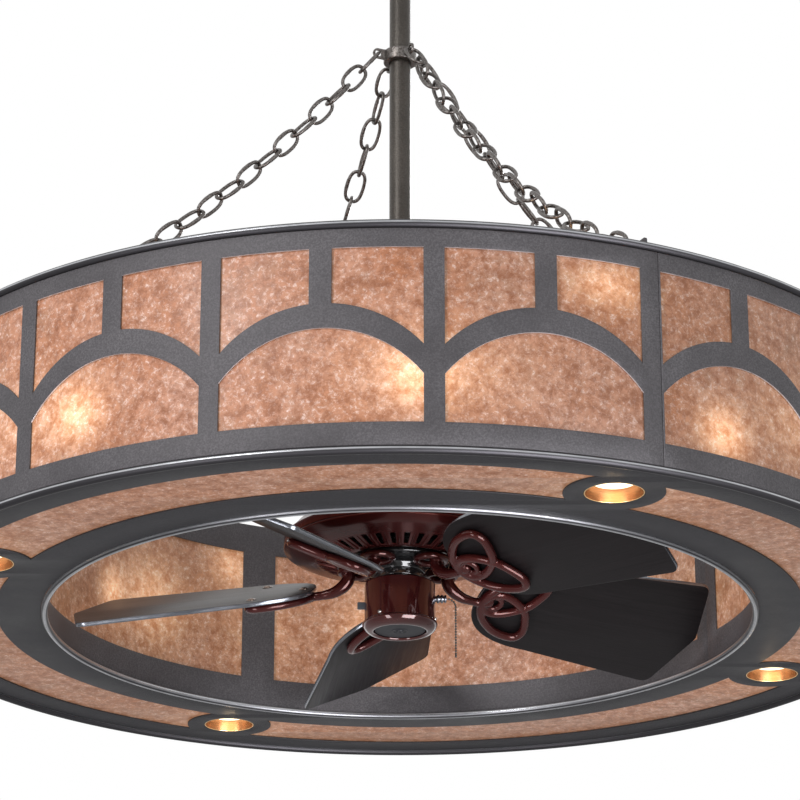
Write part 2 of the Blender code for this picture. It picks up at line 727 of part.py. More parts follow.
def make_chain(number):
    """One welded chain. Links touch where they hook, so the chain is a single body."""
    turn = FIRST_QUARTER_ANGLE + number * QUARTER
    out = around(turn, 1, 0)
    side = Vector((-out.y, out.x, 0))
    stations = chain_stations()
    halves = {0: [], 1: []}
    reach = CHAIN_WIRE_RADIUS - CHAIN_BITE / 2
    last = len(stations) - 2
    ear_slack = EAR_HOLE_RADIUS * math.cos(math.pi / PIN_FACETS) - CHAIN_WIRE_RADIUS - CLEARANCE
    lug_slack = LUG_HOLE_RADIUS * math.cos(math.pi / PIN_FACETS) - CHAIN_WIRE_RADIUS - CLEARANCE
    for k, (a, b) in enumerate(zip(stations, stations[1:])):
        start = out * a.x + Vector((0, 0, up(a.y)))
        end = out * b.x + Vector((0, 0, up(b.y)))
        along = (end - start).normalized()
        back = -ear_slack if k == 0 else reach
        on = -lug_slack if k == last else reach
        start -= along * back
        end += along * on
        across = side if k % 2 == 0 else along.cross(side)
        middle = (start + end) / 2
        half_length = (end - start).length / 2
        half_width = CHAIN_LINK_WIDTH / 2 - CHAIN_WIRE_RADIUS
        points = [middle + along * x + across * y for x, y in link_outline(half_length, half_width)]
        halves[k % 2].append(tube(f"link_{number}_{k}", points, CHAIN_WIRE_RADIUS, 0, BRONZE, closed=True))
    merged = [merge(f"chain_{number + 1}", halves[0]), merge(f"chain_{number + 1}_turned", halves[1])]
    return join(merged[0], merged[1])


def merge(name, items):
    """Several meshes that don't meet, in one object."""
    shape = bmesh.new()
    for item in items:
        mesh = item.data
        mesh.transform(item.matrix_world)
        shape.from_mesh(mesh)
    finish = items[0].data.materials[0]
    mesh = bpy.data.meshes.new(name)
    shape.to_mesh(mesh)
    shape.free()
    for item in items:
        bpy.data.objects.remove(item)
    made = bpy.data.objects.new(name, mesh)
    mesh.materials.append(finish)
    PARTS.objects.link(made)
    return made


def arc_circle(half_chord, spring, crown):
    """Radius and centre height of the circle through an arch's two springings and its crown."""
    rise = crown - spring
    radius = (half_chord**2 + rise**2) / (2 * rise)
    return radius, crown - radius


def wall_facet(number, start, jamb):
    """Half a wall panel as a flat surface, x from the post's middle line to the arch's crown line."""
    line = POST_PITCH * WALL_RADIUS / 2
    half = line - POST_WIDTH / 2
    under_radius, under_centre = arc_circle(half, ARCH_SPRING_HEIGHT, ARCH_CROWN_HEIGHT)
    over_radius, over_centre = arc_circle(half, ARCH_TOP_SPRING_HEIGHT, ARCH_TOP_CROWN_HEIGHT)

    def arch(low, high, radius, centre, steps):
        xs = [low + (high - low) * i / steps for i in range(steps + 1)]
        return [(x, centre + math.sqrt(radius**2 - (x - line) ** 2)) for x in xs]

    frame = [(start, WALL_BOTTOM_HEIGHT), (line, WALL_BOTTOM_HEIGHT), (line, WINDOW_BOTTOM_HEIGHT)]
    frame += [(jamb, WINDOW_BOTTOM_HEIGHT)] + arch(jamb, line, under_radius, under_centre, ARCH_STEPS)
    frame += [(line, WALL_TOP_HEIGHT), (start, WALL_TOP_HEIGHT)]
    over = arch(jamb, line - SHORT_POST_WIDTH / 2, over_radius, over_centre, ARCH_STEPS)
    over += [(line - SHORT_POST_WIDTH / 2, TOP_RAIL_BOTTOM_HEIGHT), (jamb, TOP_RAIL_BOTTOM_HEIGHT)]
    return flat(f"facet_{number}", [frame, over], 0, BRONZE)


def stand_up(item, line, far_line):
    """Stands a flat facet on the wall, its x running from one of the wall's lines to another."""
    facet = math.tau / RING_FACETS
    length = facet * WALL_RADIUS
    near, far = (around(FIRST_POST_ANGLE + i * facet, WALL_RADIUS, 0) for i in (line, far_line))
    for vert in item.data.vertices:
        vert.co = near.lerp(far, vert.co.x / length) + Vector((0, 0, up(vert.co.y)))


def make_wall_section(number):
    """A quarter of the drum's wall, cut from sheet and rolled, with the lug that its chain hooks into."""
    facets = RING_FACETS // CHAIN_COUNT
    first = (number - 1) * facets + RING_FACETS // PANELS
    post = POST_WIDTH / 2
    pieces = []
    for i in range(facets):
        at_seam = i == 0
        facet = wall_facet(i, post if at_seam else 0, post + (SEAM_STRIP if at_seam else 0))
        stand_up(facet, *((first + i, first + i + 1) if i % 2 == 0 else (first + i + 1, first + i)))
        pieces.append(facet)
    strip = [(0, WALL_BOTTOM_HEIGHT), (post - SEAM_GAP, WALL_BOTTOM_HEIGHT)]
    strip += [(x, WALL_TOP_HEIGHT) for x, _ in reversed(strip)]
    end = flat("last_strip", [strip], 0, BRONZE)
    stand_up(end, first + facets, first + facets + 1)
    sheet = merge(f"drum_section_{number + 1}", pieces + [end])
    shape = bmesh.new()
    shape.from_mesh(sheet.data)
    bmesh.ops.remove_doubles(shape, verts=shape.verts, dist=CLEARANCE / 10)
    bmesh.ops.recalc_face_normals(shape, faces=shape.faces)
    shape.to_mesh(sheet.data)
    shape.free()
    skin = sheet.modifiers.new("sheet", "SOLIDIFY")
    skin.thickness = WALL_THICKNESS
    skin.offset = 0
    skin.use_even_offset = True
    turn = FIRST_QUARTER_ANGLE + number * QUARTER
    root_outer = WALL_RADIUS
    root_bottom = WALL_TOP_HEIGHT - LUG_ROOT
    inner = LUG_OUTER_RADIUS - LUG_DEPTH
    slope = LUG_ROOT / 2
    outline = [
        (root_outer, root_bottom), (root_outer, WALL_TOP_HEIGHT - CLEARANCE),
        (LUG_OUTER_RADIUS, WALL_TOP_HEIGHT - CLEARANCE), (LUG_OUTER_RADIUS, LUG_TOP_HEIGHT - slope),
        (LUG_OUTER_RADIUS - slope, LUG_TOP_HEIGHT), (inner + slope, LUG_TOP_HEIGHT),
        (inner, LUG_TOP_HEIGHT - slope), (inner, WALL_TOP_HEIGHT), (LUG_OUTER_RADIUS - slope, root_bottom),
    ]
    hole = circle_points((LUG_HOLE_CIRCLE_RADIUS, LUG_HOLE_HEIGHT), LUG_HOLE_RADIUS, PIN_FACETS)
    lug = flat(f"lug_{number}", [outline, hole], LUG_THICKNESS, BRONZE)
    stand = Matrix.Rotation(turn, 4, "Z") @ Matrix.Rotation(math.pi / 2, 4, "X")
    lug.matrix_world = Matrix.Translation((0, 0, FLOOR_Z)) @ stand
    return join(sheet, lug)


def make_drum():
    for number in range(CHAIN_COUNT):
        make_wall_section(number)
    ring_rod("top_rim", WALL_RADIUS, TOP_RIM_HEIGHT, RIM_ROD_RADIUS, BRONZE)
    ring_rod("bottom_rim", WALL_RADIUS, BOTTOM_RIM_HEIGHT, RIM_ROD_RADIUS, BRONZE)
    ring_rod("inner_rim", INNER_RIM_RADIUS, BOTTOM_RIM_HEIGHT, INNER_RIM_ROD_RADIUS, BRONZE)
    bottom, top = up(WALL_BOTTOM_HEIGHT), up(OUTER_MICA_TOP_HEIGHT)
    mica = box_profile(OUTER_MICA_RADIUS - MICA_THICKNESS, OUTER_MICA_RADIUS, bottom, top)
    turned("outer_mica", mica, RING_FACETS, MICA, FIRST_POST_ANGLE)


def light_places():
    for k in range(LIGHT_COUNT):
        yield FIRST_QUARTER_ANGLE + k * math.tau / LIGHT_COUNT


def floor_window(number):
    """Outline of one window in the drum's floor, between two of the round pads."""
    first, last = (FIRST_QUARTER_ANGLE + (number + k) * QUARTER for k in range(2))
    circle = LIGHT_CIRCLE_RADIUS
    steps = 4
    outline = []
    for turn, reach, side in ((last, FLOOR_WINDOW_RADII, -1), (first, FLOOR_WINDOW_RADII[::-1], 1)):
        centre = around(turn, circle, 0)
        ends = []
        for radius in reach:
            share = (radius**2 + circle**2 - LIGHT_PAD_RADIUS**2) / (2 * radius * circle)
            gap = around(turn + side * math.acos(share), radius, 0) - centre
            ends.append(math.atan2(gap.y, gap.x))
        sweep = -((ends[0] - ends[1]) % math.tau)
        for i in range(steps + 1):
            angle = ends[0] + sweep * i / steps
            outline.append(tuple((centre + around(angle, LIGHT_PAD_RADIUS, 0)).xy))
        facets = RING_FACETS // LIGHT_COUNT
        for i in range(1, facets):
            angle = turn + side * math.tau * i / RING_FACETS
            outline.append(tuple(around(angle, reach[1], 0).xy))
    return outline


def turned_circle(radius):
    facet = math.tau / RING_FACETS
    return [tuple(around(FIRST_POST_ANGLE + i * facet, radius, 0).xy) for i in range(RING_FACETS)]


def light_holes(radius):
    centres = [around(turn, LIGHT_CIRCLE_RADIUS, 0).xy for turn in light_places()]
    return [circle_points(centre, radius, CAN_FACETS) for centre in centres]


def make_floor_ring():
    """Flat floor of the drum: two bands bridged by four round pads that hold the downlights."""
    outlines = [turned_circle(FLOOR_OUTER_RADIUS), turned_circle(FLOOR_INNER_RADIUS)]
    outlines += [floor_window(number) for number in range(LIGHT_COUNT)] + light_holes(LIGHT_HOLE_RADIUS)
    made = flat("floor_ring", outlines, FLOOR_THICKNESS, BRONZE)
    made.location.z = up(FLOOR_THICKNESS / 2)


def make_floor_mica():
    """Flat mica ring lying on the floor, with a hole for each downlight's flange."""
    outer, inner = FLOOR_OUTER_RADIUS - FLOOR_MICA_BORDER, FLOOR_INNER_RADIUS + FLOOR_MICA_BORDER
    outlines = [turned_circle(outer), turned_circle(inner)]
    outlines += light_holes(CAN_FLANGE_RADIUS + MICA_THICKNESS)
    made = flat("floor_mica", outlines, MICA_THICKNESS, MICA)
    made.location.z = up(ON_FLOOR_HEIGHT + MICA_THICKNESS / 2)


def make_inner_wall():
    """Inner band of the drum: two rails and four wide posts round the fan, with mica behind."""
    half = INNER_WALL_THICKNESS / 2
    bottom, top = up(ON_FLOOR_HEIGHT), up(INNER_WALL_TOP_HEIGHT)
    band = box_profile(INNER_WALL_RADIUS - half, INNER_WALL_RADIUS + half, bottom, top)
    made = turned("inner_wall", band, RING_FACETS, BRONZE, FIRST_POST_ANGLE)
    low, high = up(INNER_WINDOW_BOTTOM_HEIGHT), up(INNER_WINDOW_TOP_HEIGHT)
    reach = INNER_WALL_RADIUS + half + OVERRUN
    gap = box_profile(INNER_WALL_RADIUS - OVERRUN * 2, reach, low, high)
    window = turned("inner_window", gap, RING_FACETS, BRONZE, FIRST_POST_ANGLE)
    middle = Matrix.Translation((0, 0, (low + high) / 2))
    for k in range(2):
        turn = Matrix.Rotation(FIRST_QUARTER_ANGLE + k * math.pi / 2, 4, "Z")
        size = ((reach + OVERRUN) * 2, INNER_POST_WIDTH, high - low + OVERRUN * 2)
        cut(window, block(f"inner_posts_{k}", size, BRONZE, middle @ turn))
    cut(made, window)
    sheet = box_profile(INNER_MICA_RADIUS, INNER_MICA_RADIUS + MICA_THICKNESS, bottom, top - MICA_LAP)
    turned("inner_mica", sheet, RING_FACETS, MICA, FIRST_POST_ANGLE)
    return made


def make_lamp_ring():
    """Wire raceway round the inner wall, with its lamp sockets and bulbs."""
    half = RACEWAY_SIZE / 2
    z = up(RACEWAY_HEIGHT)
    made = turned(
        "lamp_ring", box_profile(RACEWAY_RADIUS, RACEWAY_RADIUS + RACEWAY_SIZE, z - half, z + half),
        RING_FACETS, BRONZE, FIRST_POST_ANGLE,
    )
    for k in range(BULB_COUNT):
        turn = FIRST_POST_ANGLE + k * math.tau / BULB_COUNT
        start, end = around(turn, RACEWAY_RADIUS + half, z), around(turn, SOCKET_END_RADIUS, z)
        socket = rod(f"socket_{k}", start, end, SOCKET_RADIUS, PIN_FACETS, BRONZE)
        facing = Matrix.Rotation(turn, 4, "Z") @ Matrix.Rotation(math.pi / 2, 4, "Y")
        place = Matrix.Translation(around(turn, BULB_CIRCLE_RADIUS, z)) @ facing
        join(made, socket, ball(f"bulb_{k}", BULB_RADIUS, LIT_GLASS, place, 8, 5))
    return made


def make_downlights():
    can = skin_can()
    top = CAN_TOP_HEIGHT - CAN_WALL - CLEARANCE
    lamp = [
        (0, up(LAMP_FACE_HEIGHT)), (LAMP_FACE_RADIUS, up(LAMP_FACE_HEIGHT)),
        (LAMP_FACE_RADIUS, up(LAMP_FACE_HEIGHT + LAMP_RIM)), (LAMP_NECK_RADIUS, up(LAMP_NECK_HEIGHT)),
        (LAMP_NECK_RADIUS, up(top)), (0, up(top)),
    ]
    for k, turn in enumerate(light_places()):
        for name, profile, finish in (("can", can, REFLECTOR), ("lamp", lamp, LIT_GLASS)):
            made = turned(f"downlight_{name}_{k + 1}", profile, CAN_FACETS, finish)
            made.location = around(turn, LIGHT_CIRCLE_RADIUS, 0)


def skin_can():
    """Profile of a downlight can: open below, resting on the floor by its flange, vented on top."""
    flange_top = ON_FLOOR_HEIGHT + CAN_FLANGE_THICKNESS
    inner = CAN_RADIUS - CAN_WALL
    return [
        (CAN_RADIUS, up(CAN_TOP_HEIGHT)), (CAN_RADIUS, up(flange_top)), (CAN_FLANGE_RADIUS, up(flange_top)),
        (CAN_FLANGE_RADIUS, up(ON_FLOOR_HEIGHT)), (CAN_RADIUS, up(ON_FLOOR_HEIGHT)), (CAN_RADIUS, up(0)),
        (inner, up(0)), (inner, up(CAN_TOP_HEIGHT - CAN_WALL)),
        (CAN_VENT_RADIUS, up(CAN_TOP_HEIGHT - CAN_WALL)), (CAN_VENT_RADIUS, up(CAN_TOP_HEIGHT)),
    ]


def make_coupling():
    """Casting that joins the downrod to the motor's shaft, its cross bolt, and the cover round it."""
    bottom = HOUSING_TOP_HEIGHT + CLEARANCE
    top = COUPLING_FLOOR_HEIGHT + COUPLING_FLOOR + COUPLING_ROD_DEPTH
    shaft_bore = SHAFT_RADIUS + CLEARANCE
    rod_bore = ROD_RADIUS + CLEARANCE
    profile = [
        (COUPLING_RADIUS, up(top)), (COUPLING_RADIUS, up(bottom + COUPLING_FLANGE)),
        (COUPLING_FLANGE_RADIUS, up(bottom + COUPLING_FLANGE)), (COUPLING_FLANGE_RADIUS, up(bottom)),
        (shaft_bore, up(bottom)), (shaft_bore, up(COUPLING_FLOOR_HEIGHT)),
        (SHAFT_BORE, up(COUPLING_FLOOR_HEIGHT)), (SHAFT_BORE, up(COUPLING_FLOOR_HEIGHT + COUPLING_FLOOR)),
        (rod_bore, up(COUPLING_FLOOR_HEIGHT + COUPLING_FLOOR)), (rod_bore, up(top)),
    ]
    cut(turned("motor_coupling", profile, SMALL_FACETS, BLACK), coupling_bolt_hole("coupling_bolt_hole"))
    z = up(ROD_BOTTOM_HEIGHT + COUPLING_BOLT_UP)
    half = COUPLING_BOLT_LENGTH / 2
    bolt = rod("coupling_bolt", (-half, 0, z), (half, 0, z), COUPLING_BOLT_RADIUS, PIN_FACETS, STEEL)
    head_start = COUPLING_RADIUS + CLEARANCE
    head_end = half + OVERRUN / 2
    head = rod("bolt_head", (head_start, 0, z), (head_end, 0, z), COUPLING_BOLT_RADIUS * 2, 6, STEEL)
    join(bolt, head)
    radius_shares = (1.0, 0.84, 0.52)
    height_shares = (0.24, 0.66, 0.92)
    cover = [
        (COVER_RADIUS, up(bottom)),
        (COVER_RADIUS * radius_shares[0], up(bottom + COVER_HEIGHT * height_shares[0])),
        (COVER_RADIUS * radius_shares[1], up(bottom + COVER_HEIGHT * height_shares[1])),
        (COVER_RADIUS * radius_shares[2], up(bottom + COVER_HEIGHT * height_shares[2])),
        (ROD_RADIUS + COVER_WALL, up(bottom + COVER_HEIGHT)),
    ]
    cover.reverse()
    turned("coupling_cover", skin_profile(cover, COVER_WALL), CUP_FACETS, MAHOGANY)


def make_upper_housing():
    """Spun steel top of the motor housing, clamped under the coupling's flange."""
    bottom = HOUSING_RIM_HEIGHT + CLEARANCE
    rise = HOUSING_TOP_HEIGHT - bottom - HOUSING_BAND
    radius_shares = (0.945, 0.78)
    rise_shares = (0.42, 0.78)
    outline = [
        (HOUSING_NECK_RADIUS, up(HOUSING_TOP_HEIGHT)),
        (HOUSING_CROWN_RADIUS, up(HOUSING_TOP_HEIGHT)),
        (HOUSING_RADIUS * radius_shares[1], up(bottom + HOUSING_BAND + rise * rise_shares[1])),
        (HOUSING_RADIUS * radius_shares[0], up(bottom + HOUSING_BAND + rise * rise_shares[0])),
        (HOUSING_RADIUS, up(bottom + HOUSING_BAND)),
        (HOUSING_RADIUS, up(bottom)),
    ]
    return turned("upper_housing", skin_profile(outline, HOUSING_WALL), MOTOR_FACETS, MAHOGANY)


def make_vented_housing():
    """Lower bowl of the motor housing, with a ring of radial cooling slots."""
    cone_top = HOUSING_RIM_HEIGHT - BOWL_CONE_DROP
    outline = [
        (HOUSING_RADIUS, up(HOUSING_RIM_HEIGHT)),
        (HOUSING_RADIUS, up(HOUSING_RIM_HEIGHT - BOWL_BAND)),
        (HOUSING_RADIUS - BOWL_SHOULDER_INSET, up(HOUSING_RIM_HEIGHT - BOWL_SHOULDER_DROP)),
        (BOWL_CONE_OUTER_RADIUS, up(cone_top)),
        (BOWL_CONE_INNER_RADIUS, up(BOWL_MOUTH_HEIGHT)),
        (BOWL_MOUTH_RADIUS, up(BOWL_MOUTH_HEIGHT)),
    ]
    made = turned("vented_housing", skin_profile(outline, HOUSING_WALL), MOTOR_FACETS, MAHOGANY)
    shape = bmesh.new()
    slope = (cone_top - BOWL_MOUTH_HEIGHT) / (BOWL_CONE_OUTER_RADIUS - BOWL_CONE_INNER_RADIUS)
    lean = Matrix.Rotation(-math.atan(slope), 4, "Y")
    length = (VENT_OUTER_RADIUS - VENT_INNER_RADIUS) * math.sqrt(1 + slope**2)
    middle = (VENT_OUTER_RADIUS + VENT_INNER_RADIUS) / 2
    height = BOWL_MOUTH_HEIGHT + (middle - BOWL_CONE_INNER_RADIUS) * slope
    for k in range(VENT_COUNT):
        turn = Matrix.Rotation(math.tau * (k + 0.5) / VENT_COUNT, 4, "Z")
        place = turn @ Matrix.Translation((middle, 0, up(height))) @ lean
        size = Matrix.Diagonal((length, VENT_WIDTH, HOUSING_WALL * 2 + OVERRUN, 1))
        bmesh.ops.create_cube(shape, size=1, matrix=place @ size)
    mesh = bpy.data.meshes.new("vent_cutter")
    shape.to_mesh(mesh)
    shape.free()
    return cut(made, add("vent_cutter", mesh, MAHOGANY))


def make_motor():
    """Fixed hollow shaft and stator, with the rotor shell turning round them on two bearings."""
    shaft_top = COUPLING_FLOOR_HEIGHT - CLEARANCE
    shaft = box_profile(SHAFT_BORE, SHAFT_RADIUS, up(SHAFT_BOTTOM_HEIGHT), up(shaft_top))
    turned("motor_shaft", shaft, SMALL_FACETS, STEEL)
    low, high = up(MOTOR_HEIGHT - STATOR_THICKNESS / 2), up(MOTOR_HEIGHT + STATOR_THICKNESS / 2)
    bore = SHAFT_RADIUS + CLEARANCE
    slope = WINDING_RISE / 3
    outer, inner = WINDING_OUTER_RADIUS, WINDING_INNER_RADIUS
    stator = [
        (STATOR_RADIUS, high), (STATOR_RADIUS, low), (outer, low),
        (outer - slope, low - WINDING_RISE), (inner + slope, low - WINDING_RISE),
        (inner, low), (bore, low), (bore, high), (inner, high),
        (inner + slope, high + WINDING_RISE), (outer - slope, high + WINDING_RISE), (outer, high),
    ]
    turned("stator", stator, SMALL_FACETS, COPPER)
    bottom, top = MOTOR_HEIGHT - ROTOR_HALF_HEIGHT, MOTOR_HEIGHT + ROTOR_HALF_HEIGHT
    seat = (BEARING_RADIUS + BEARING_SEAT_GAP) / math.cos(math.pi / SMALL_FACETS)
    inside = ROTOR_RADIUS - ROTOR_WALL
    rotor = [
        (ROTOR_RADIUS, up(top)), (ROTOR_RADIUS, up(bottom)), (seat, up(bottom)),
        (seat, up(bottom + ROTOR_WALL)), (inside, up(bottom + ROTOR_WALL)),
        (inside, up(top - ROTOR_WALL)), (seat, up(top - ROTOR_WALL)), (seat, up(top)),
    ]
    turned("rotor_shell", rotor, SMALL_FACETS, BLACK)
    for name, edge in (("lower_bearing", up(bottom)), ("upper_bearing", up(top - BEARING_WIDTH))):
        turned(name, box_profile(bore, BEARING_RADIUS, edge, edge + BEARING_WIDTH), SMALL_FACETS, STEEL)
    inner = SHAFT_RADIUS + RUNNING_GAP
    flywheel = [
        (FLYWHEEL_CORE_RADIUS, up(bottom - CLEARANCE)),
        (FLYWHEEL_CORE_RADIUS, up(FLYWHEEL_HEIGHT + FLYWHEEL_THICKNESS)),
        (FLYWHEEL_RADIUS, up(FLYWHEEL_HEIGHT + FLYWHEEL_THICKNESS)), (FLYWHEEL_RADIUS, up(FLYWHEEL_HEIGHT)),
        (FLYWHEEL_CORE_RADIUS, up(FLYWHEEL_HEIGHT)),
        (FLYWHEEL_CORE_RADIUS, up(FLYWHEEL_CORE_BOTTOM_HEIGHT)),
        (inner, up(FLYWHEEL_CORE_BOTTOM_HEIGHT)), (inner, up(bottom - CLEARANCE)),
    ]
    turned("flywheel", flywheel, SMALL_FACETS, BLACK)


def blade_frame(number):
    """Axes of one blade: x out along it, y across it, z square to it, from the fan's axis."""
    turn = FIRST_BLADE_ANGLE + number * math.tau / BLADE_COUNT
    tilt = Matrix.Rotation(BLADE_DROOP, 4, "Y") @ Matrix.Rotation(-BLADE_PITCH, 4, "X")
    return Matrix.Translation((0, 0, up(BLADE_HEIGHT))) @ Matrix.Rotation(turn, 4, "Z") @ tilt


def blade_half_outline():
    """Half of a blade's outline, from the middle of its root to its tip."""
    steps = 6
    root_length = BLADE_SHOULDER_REACH - BLADE_ROOT_REACH
    ease_power, swell_power = 1.2, 0.9
    root = [
        (
            BLADE_ROOT_REACH + root_length * (1 - math.cos(math.pi / 2 * i / steps)) ** ease_power,
            BLADE_SHOULDER_HALF * math.sin(math.pi / 2 * i / steps) ** swell_power,
        )
        for i in range(steps + 1)
    ]
    corner = Vector((BLADE_CORNER_REACH, BLADE_CORNER_HALF))
    side = (corner - Vector((BLADE_SHOULDER_REACH, BLADE_SHOULDER_HALF))).normalized() * BLADE_CORNER_CUT
    tip = (Vector((BLADE_TIP_REACH, 0)) - corner).normalized() * BLADE_CORNER_CUT
    return root + [tuple(corner - side), tuple(corner + tip), (BLADE_TIP_REACH, 0)]


def make_blades():
    half = blade_half_outline()
    mirrored = [(x, -y) for x, y in reversed(half[1:-1])]
    first = flat("blade_1", [half + mirrored], BLADE_THICKNESS, CHARCOAL)
    first.matrix_world = blade_frame(0)
    for number in range(1, BLADE_COUNT):
        add(f"blade_{number + 1}", first.data.copy(), CHARCOAL).matrix_world = blade_frame(number)


def iron_loop(side):
    """Centre line of one leaf-shaped loop of an iron, flat under the blade, that crosses its twin."""
    reach = IRON_OUTER_SCREW_REACH - IRON_INNER_SCREW_REACH
    along_shares = (-0.16, 0.02, 0.38, 0.76, 1.02, 1.13, 1.05, 0.89, 0.58, 0.25, 0.02, -0.13)
    across_shares = (0.12, 0.52, 0.86, 1.0, 0.98, 0.74, 0.40, 0.08, -0.18, -0.32, -0.28, -0.10)
    return [
        (IRON_INNER_SCREW_REACH + reach * a, side * IRON_SCREW_HALF * b)
        for a, b in zip(along_shares, across_shares)
    ]


def make_irons():
    """Cast blade irons: a foot loop on the flywheel, a curved arm, and two scrolled loops."""
    frame = blade_frame(0)
    below = -(BLADE_THICKNESS / 2 + CLEARANCE + IRON_WIRE_RADIUS)
    pieces = []
    for side in (-1, 1):
        points = [frame @ Vector((x, y, below)) for x, y in iron_loop(side)]
        pieces.append(tube(f"iron_loop_{side:+d}", points, IRON_WIRE_RADIUS, 0, MAHOGANY, closed=True))
    screws = [(IRON_INNER_SCREW_REACH, 0)]
    screws += [(IRON_OUTER_SCREW_REACH, side * IRON_SCREW_HALF) for side in (-1, 1)]
    for number, (x, y) in enumerate(screws):
        radius = IRON_RING_RADIUS if number == 0 else IRON_BOSS_RADIUS
        low = frame @ Vector((x, y, below - IRON_WIRE_RADIUS))
        high = frame @ Vector((x, y, below + IRON_WIRE_RADIUS))
        pieces.append(rod(f"iron_boss_{number}", low, high, radius, PIN_FACETS, MAHOGANY))
    turn = Matrix.Rotation(FIRST_BLADE_ANGLE, 4, "Z")
    foot_z = up(FLYWHEEL_HEIGHT - CLEARANCE - IRON_FOOT_WIRE_RADIUS)
    steps = PIN_FACETS
    foot = [
        turn @ Vector(
            (
                IRON_FOOT_REACH + IRON_FOOT_HALF_LENGTH * math.cos(math.tau * i / steps),
                IRON_FOOT_HALF_WIDTH * math.sin(math.tau * i / steps),
                foot_z,
            )
        )
        for i in range(steps)
    ]
    pieces.append(tube("iron_foot", foot, IRON_FOOT_WIRE_RADIUS, 0, MAHOGANY, closed=True))
    arm_start = turn @ Vector((IRON_ARM_START_REACH, 0, foot_z))
    arm_end = frame @ Vector((IRON_INNER_SCREW_REACH, 0, below + IRON_WIRE_RADIUS - IRON_ARM_RADIUS))
    run = arm_end - arm_start
    run_shares, drop_shares = (0.03, 0.22, 0.60), (0.42, 0.80, 1.06)
    arm = [arm_start + Vector((run.x * a, run.y * a, run.z * b)) for a, b in zip(run_shares, drop_shares)]
    pieces.append(tube("iron_arm", [arm_start, *arm, arm_end], IRON_ARM_RADIUS, 0, MAHOGANY))
    first = join(pieces[0], *pieces[1:])
    first.name = "blade_iron_1"
    first = replaced(first)
    for number in range(1, BLADE_COUNT):
        copy = add(f"blade_iron_{number + 1}", first.data.copy(), MAHOGANY)
        copy.matrix_world = Matrix.Rotation(number * math.tau / BLADE_COUNT, 4, "Z") @ first.matrix_world


def make_switch_housing():
    """Cup under the motor that holds the switches, hung on the shaft's lower end, and its cap."""
    bead_top, bead_bottom = SWITCH_BEAD_HEIGHT + SWITCH_BEAD_HALF, SWITCH_BEAD_HEIGHT - SWITCH_BEAD_HALF
    outline = [
        (SHAFT_RADIUS + CLEARANCE, up(SWITCH_TOP_HEIGHT)),
        (SWITCH_RADIUS - SWITCH_WALL, up(SWITCH_TOP_HEIGHT)),
        (SWITCH_RADIUS, up(SWITCH_TOP_HEIGHT - SWITCH_WALL)),
        (SWITCH_RADIUS, up(bead_top)),
        (SWITCH_BEAD_RADIUS, up(bead_top - SWITCH_WALL)),
        (SWITCH_BEAD_RADIUS, up(bead_bottom)),
        (SWITCH_MOUTH_RADIUS, up(SWITCH_BOTTOM_HEIGHT)),
    ]
    made = turned("switch_housing", skin_profile(outline, SWITCH_WALL), CUP_FACETS, MAHOGANY)
    z = up(NIPPLE_HEIGHT)
    start, end = (SWITCH_RADIUS - OVERRUN, 0, z), (SWITCH_RADIUS + OVERRUN, 0, z)
    nipple_hole = rod("nipple_hole", start, end, NIPPLE_RADIUS + CLEARANCE, SMALL_FACETS, STEEL)
    slot_size = (OVERRUN * 2, LEVER_WIDTH + CLEARANCE * 2, LEVER_DEPTH + LEVER_TRAVEL + CLEARANCE * 4)
    slot_place = Matrix.Translation((-SWITCH_RADIUS, 0, up(LEVER_HEIGHT + LEVER_TRAVEL / 2)))
    cut(made, nipple_hole, block("lever_slot", slot_size, STEEL, slot_place))
    cap_radius = SWITCH_MOUTH_RADIUS - SWITCH_WALL - CLEARANCE
    cap_bottom = SWITCH_BOTTOM_HEIGHT
    cap_top, plug_bottom = up(cap_bottom + CAP_THICKNESS), up(cap_bottom - CAP_PLUG_DEPTH)
    cap = [
        (0, cap_top), (cap_radius, cap_top), (cap_radius, up(cap_bottom)),
        (CAP_PLUG_RADIUS, up(cap_bottom)), (CAP_PLUG_RADIUS, plug_bottom), (0, plug_bottom),
    ]
    turned("switch_cap", cap, CUP_FACETS, BLACK)


def make_pull_switch():
    """Speed switch with its ribbed nipple through the wall, and the bead chain that hangs from it."""
    z = up(NIPPLE_HEIGHT)
    face = math.sqrt((SWITCH_RADIUS - SWITCH_WALL) ** 2 - (PULL_BODY_WIDTH / 2) ** 2) * math.cos(
        math.pi / CUP_FACETS
    ) - CLEARANCE
    made = block(
        "pull_switch", (PULL_BODY_DEPTH, PULL_BODY_WIDTH, PULL_BODY_HEIGHT), BLACK,
        Matrix.Translation((face - PULL_BODY_DEPTH / 2, 0, z)),
    )
    start, end = (face - OVERRUN / 2, 0, z), (NIPPLE_REACH, 0, z)
    nipple = rod("nipple", start, end, NIPPLE_RADIUS, SMALL_FACETS, STEEL)
    bore = rod("nipple_bore", (face, 0, z), (NIPPLE_REACH + OVERRUN, 0, z), NIPPLE_BORE, PIN_FACETS, STEEL)
    cut(join(made, nipple), bore)
    mouth = NIPPLE_REACH + CLEARANCE
    bend = PULL_CHAIN_OUT - PULL_CHAIN_RADIUS * 2
    bend_x = mouth + PULL_CHAIN_RADIUS * 2
    steps = 5
    points = [(mouth, 0, z)]
    points += [
        (
            bend_x + bend * math.sin(math.pi / 2 * i / steps),
            0,
            z - bend * (1 - math.cos(math.pi / 2 * i / steps)),
        )
        for i in range(steps + 1)
    ]
    points.append((bend_x + bend, 0, z - PULL_CHAIN_DROP))
    tube("pull_chain", points, PULL_CHAIN_RADIUS, 1, STEEL)


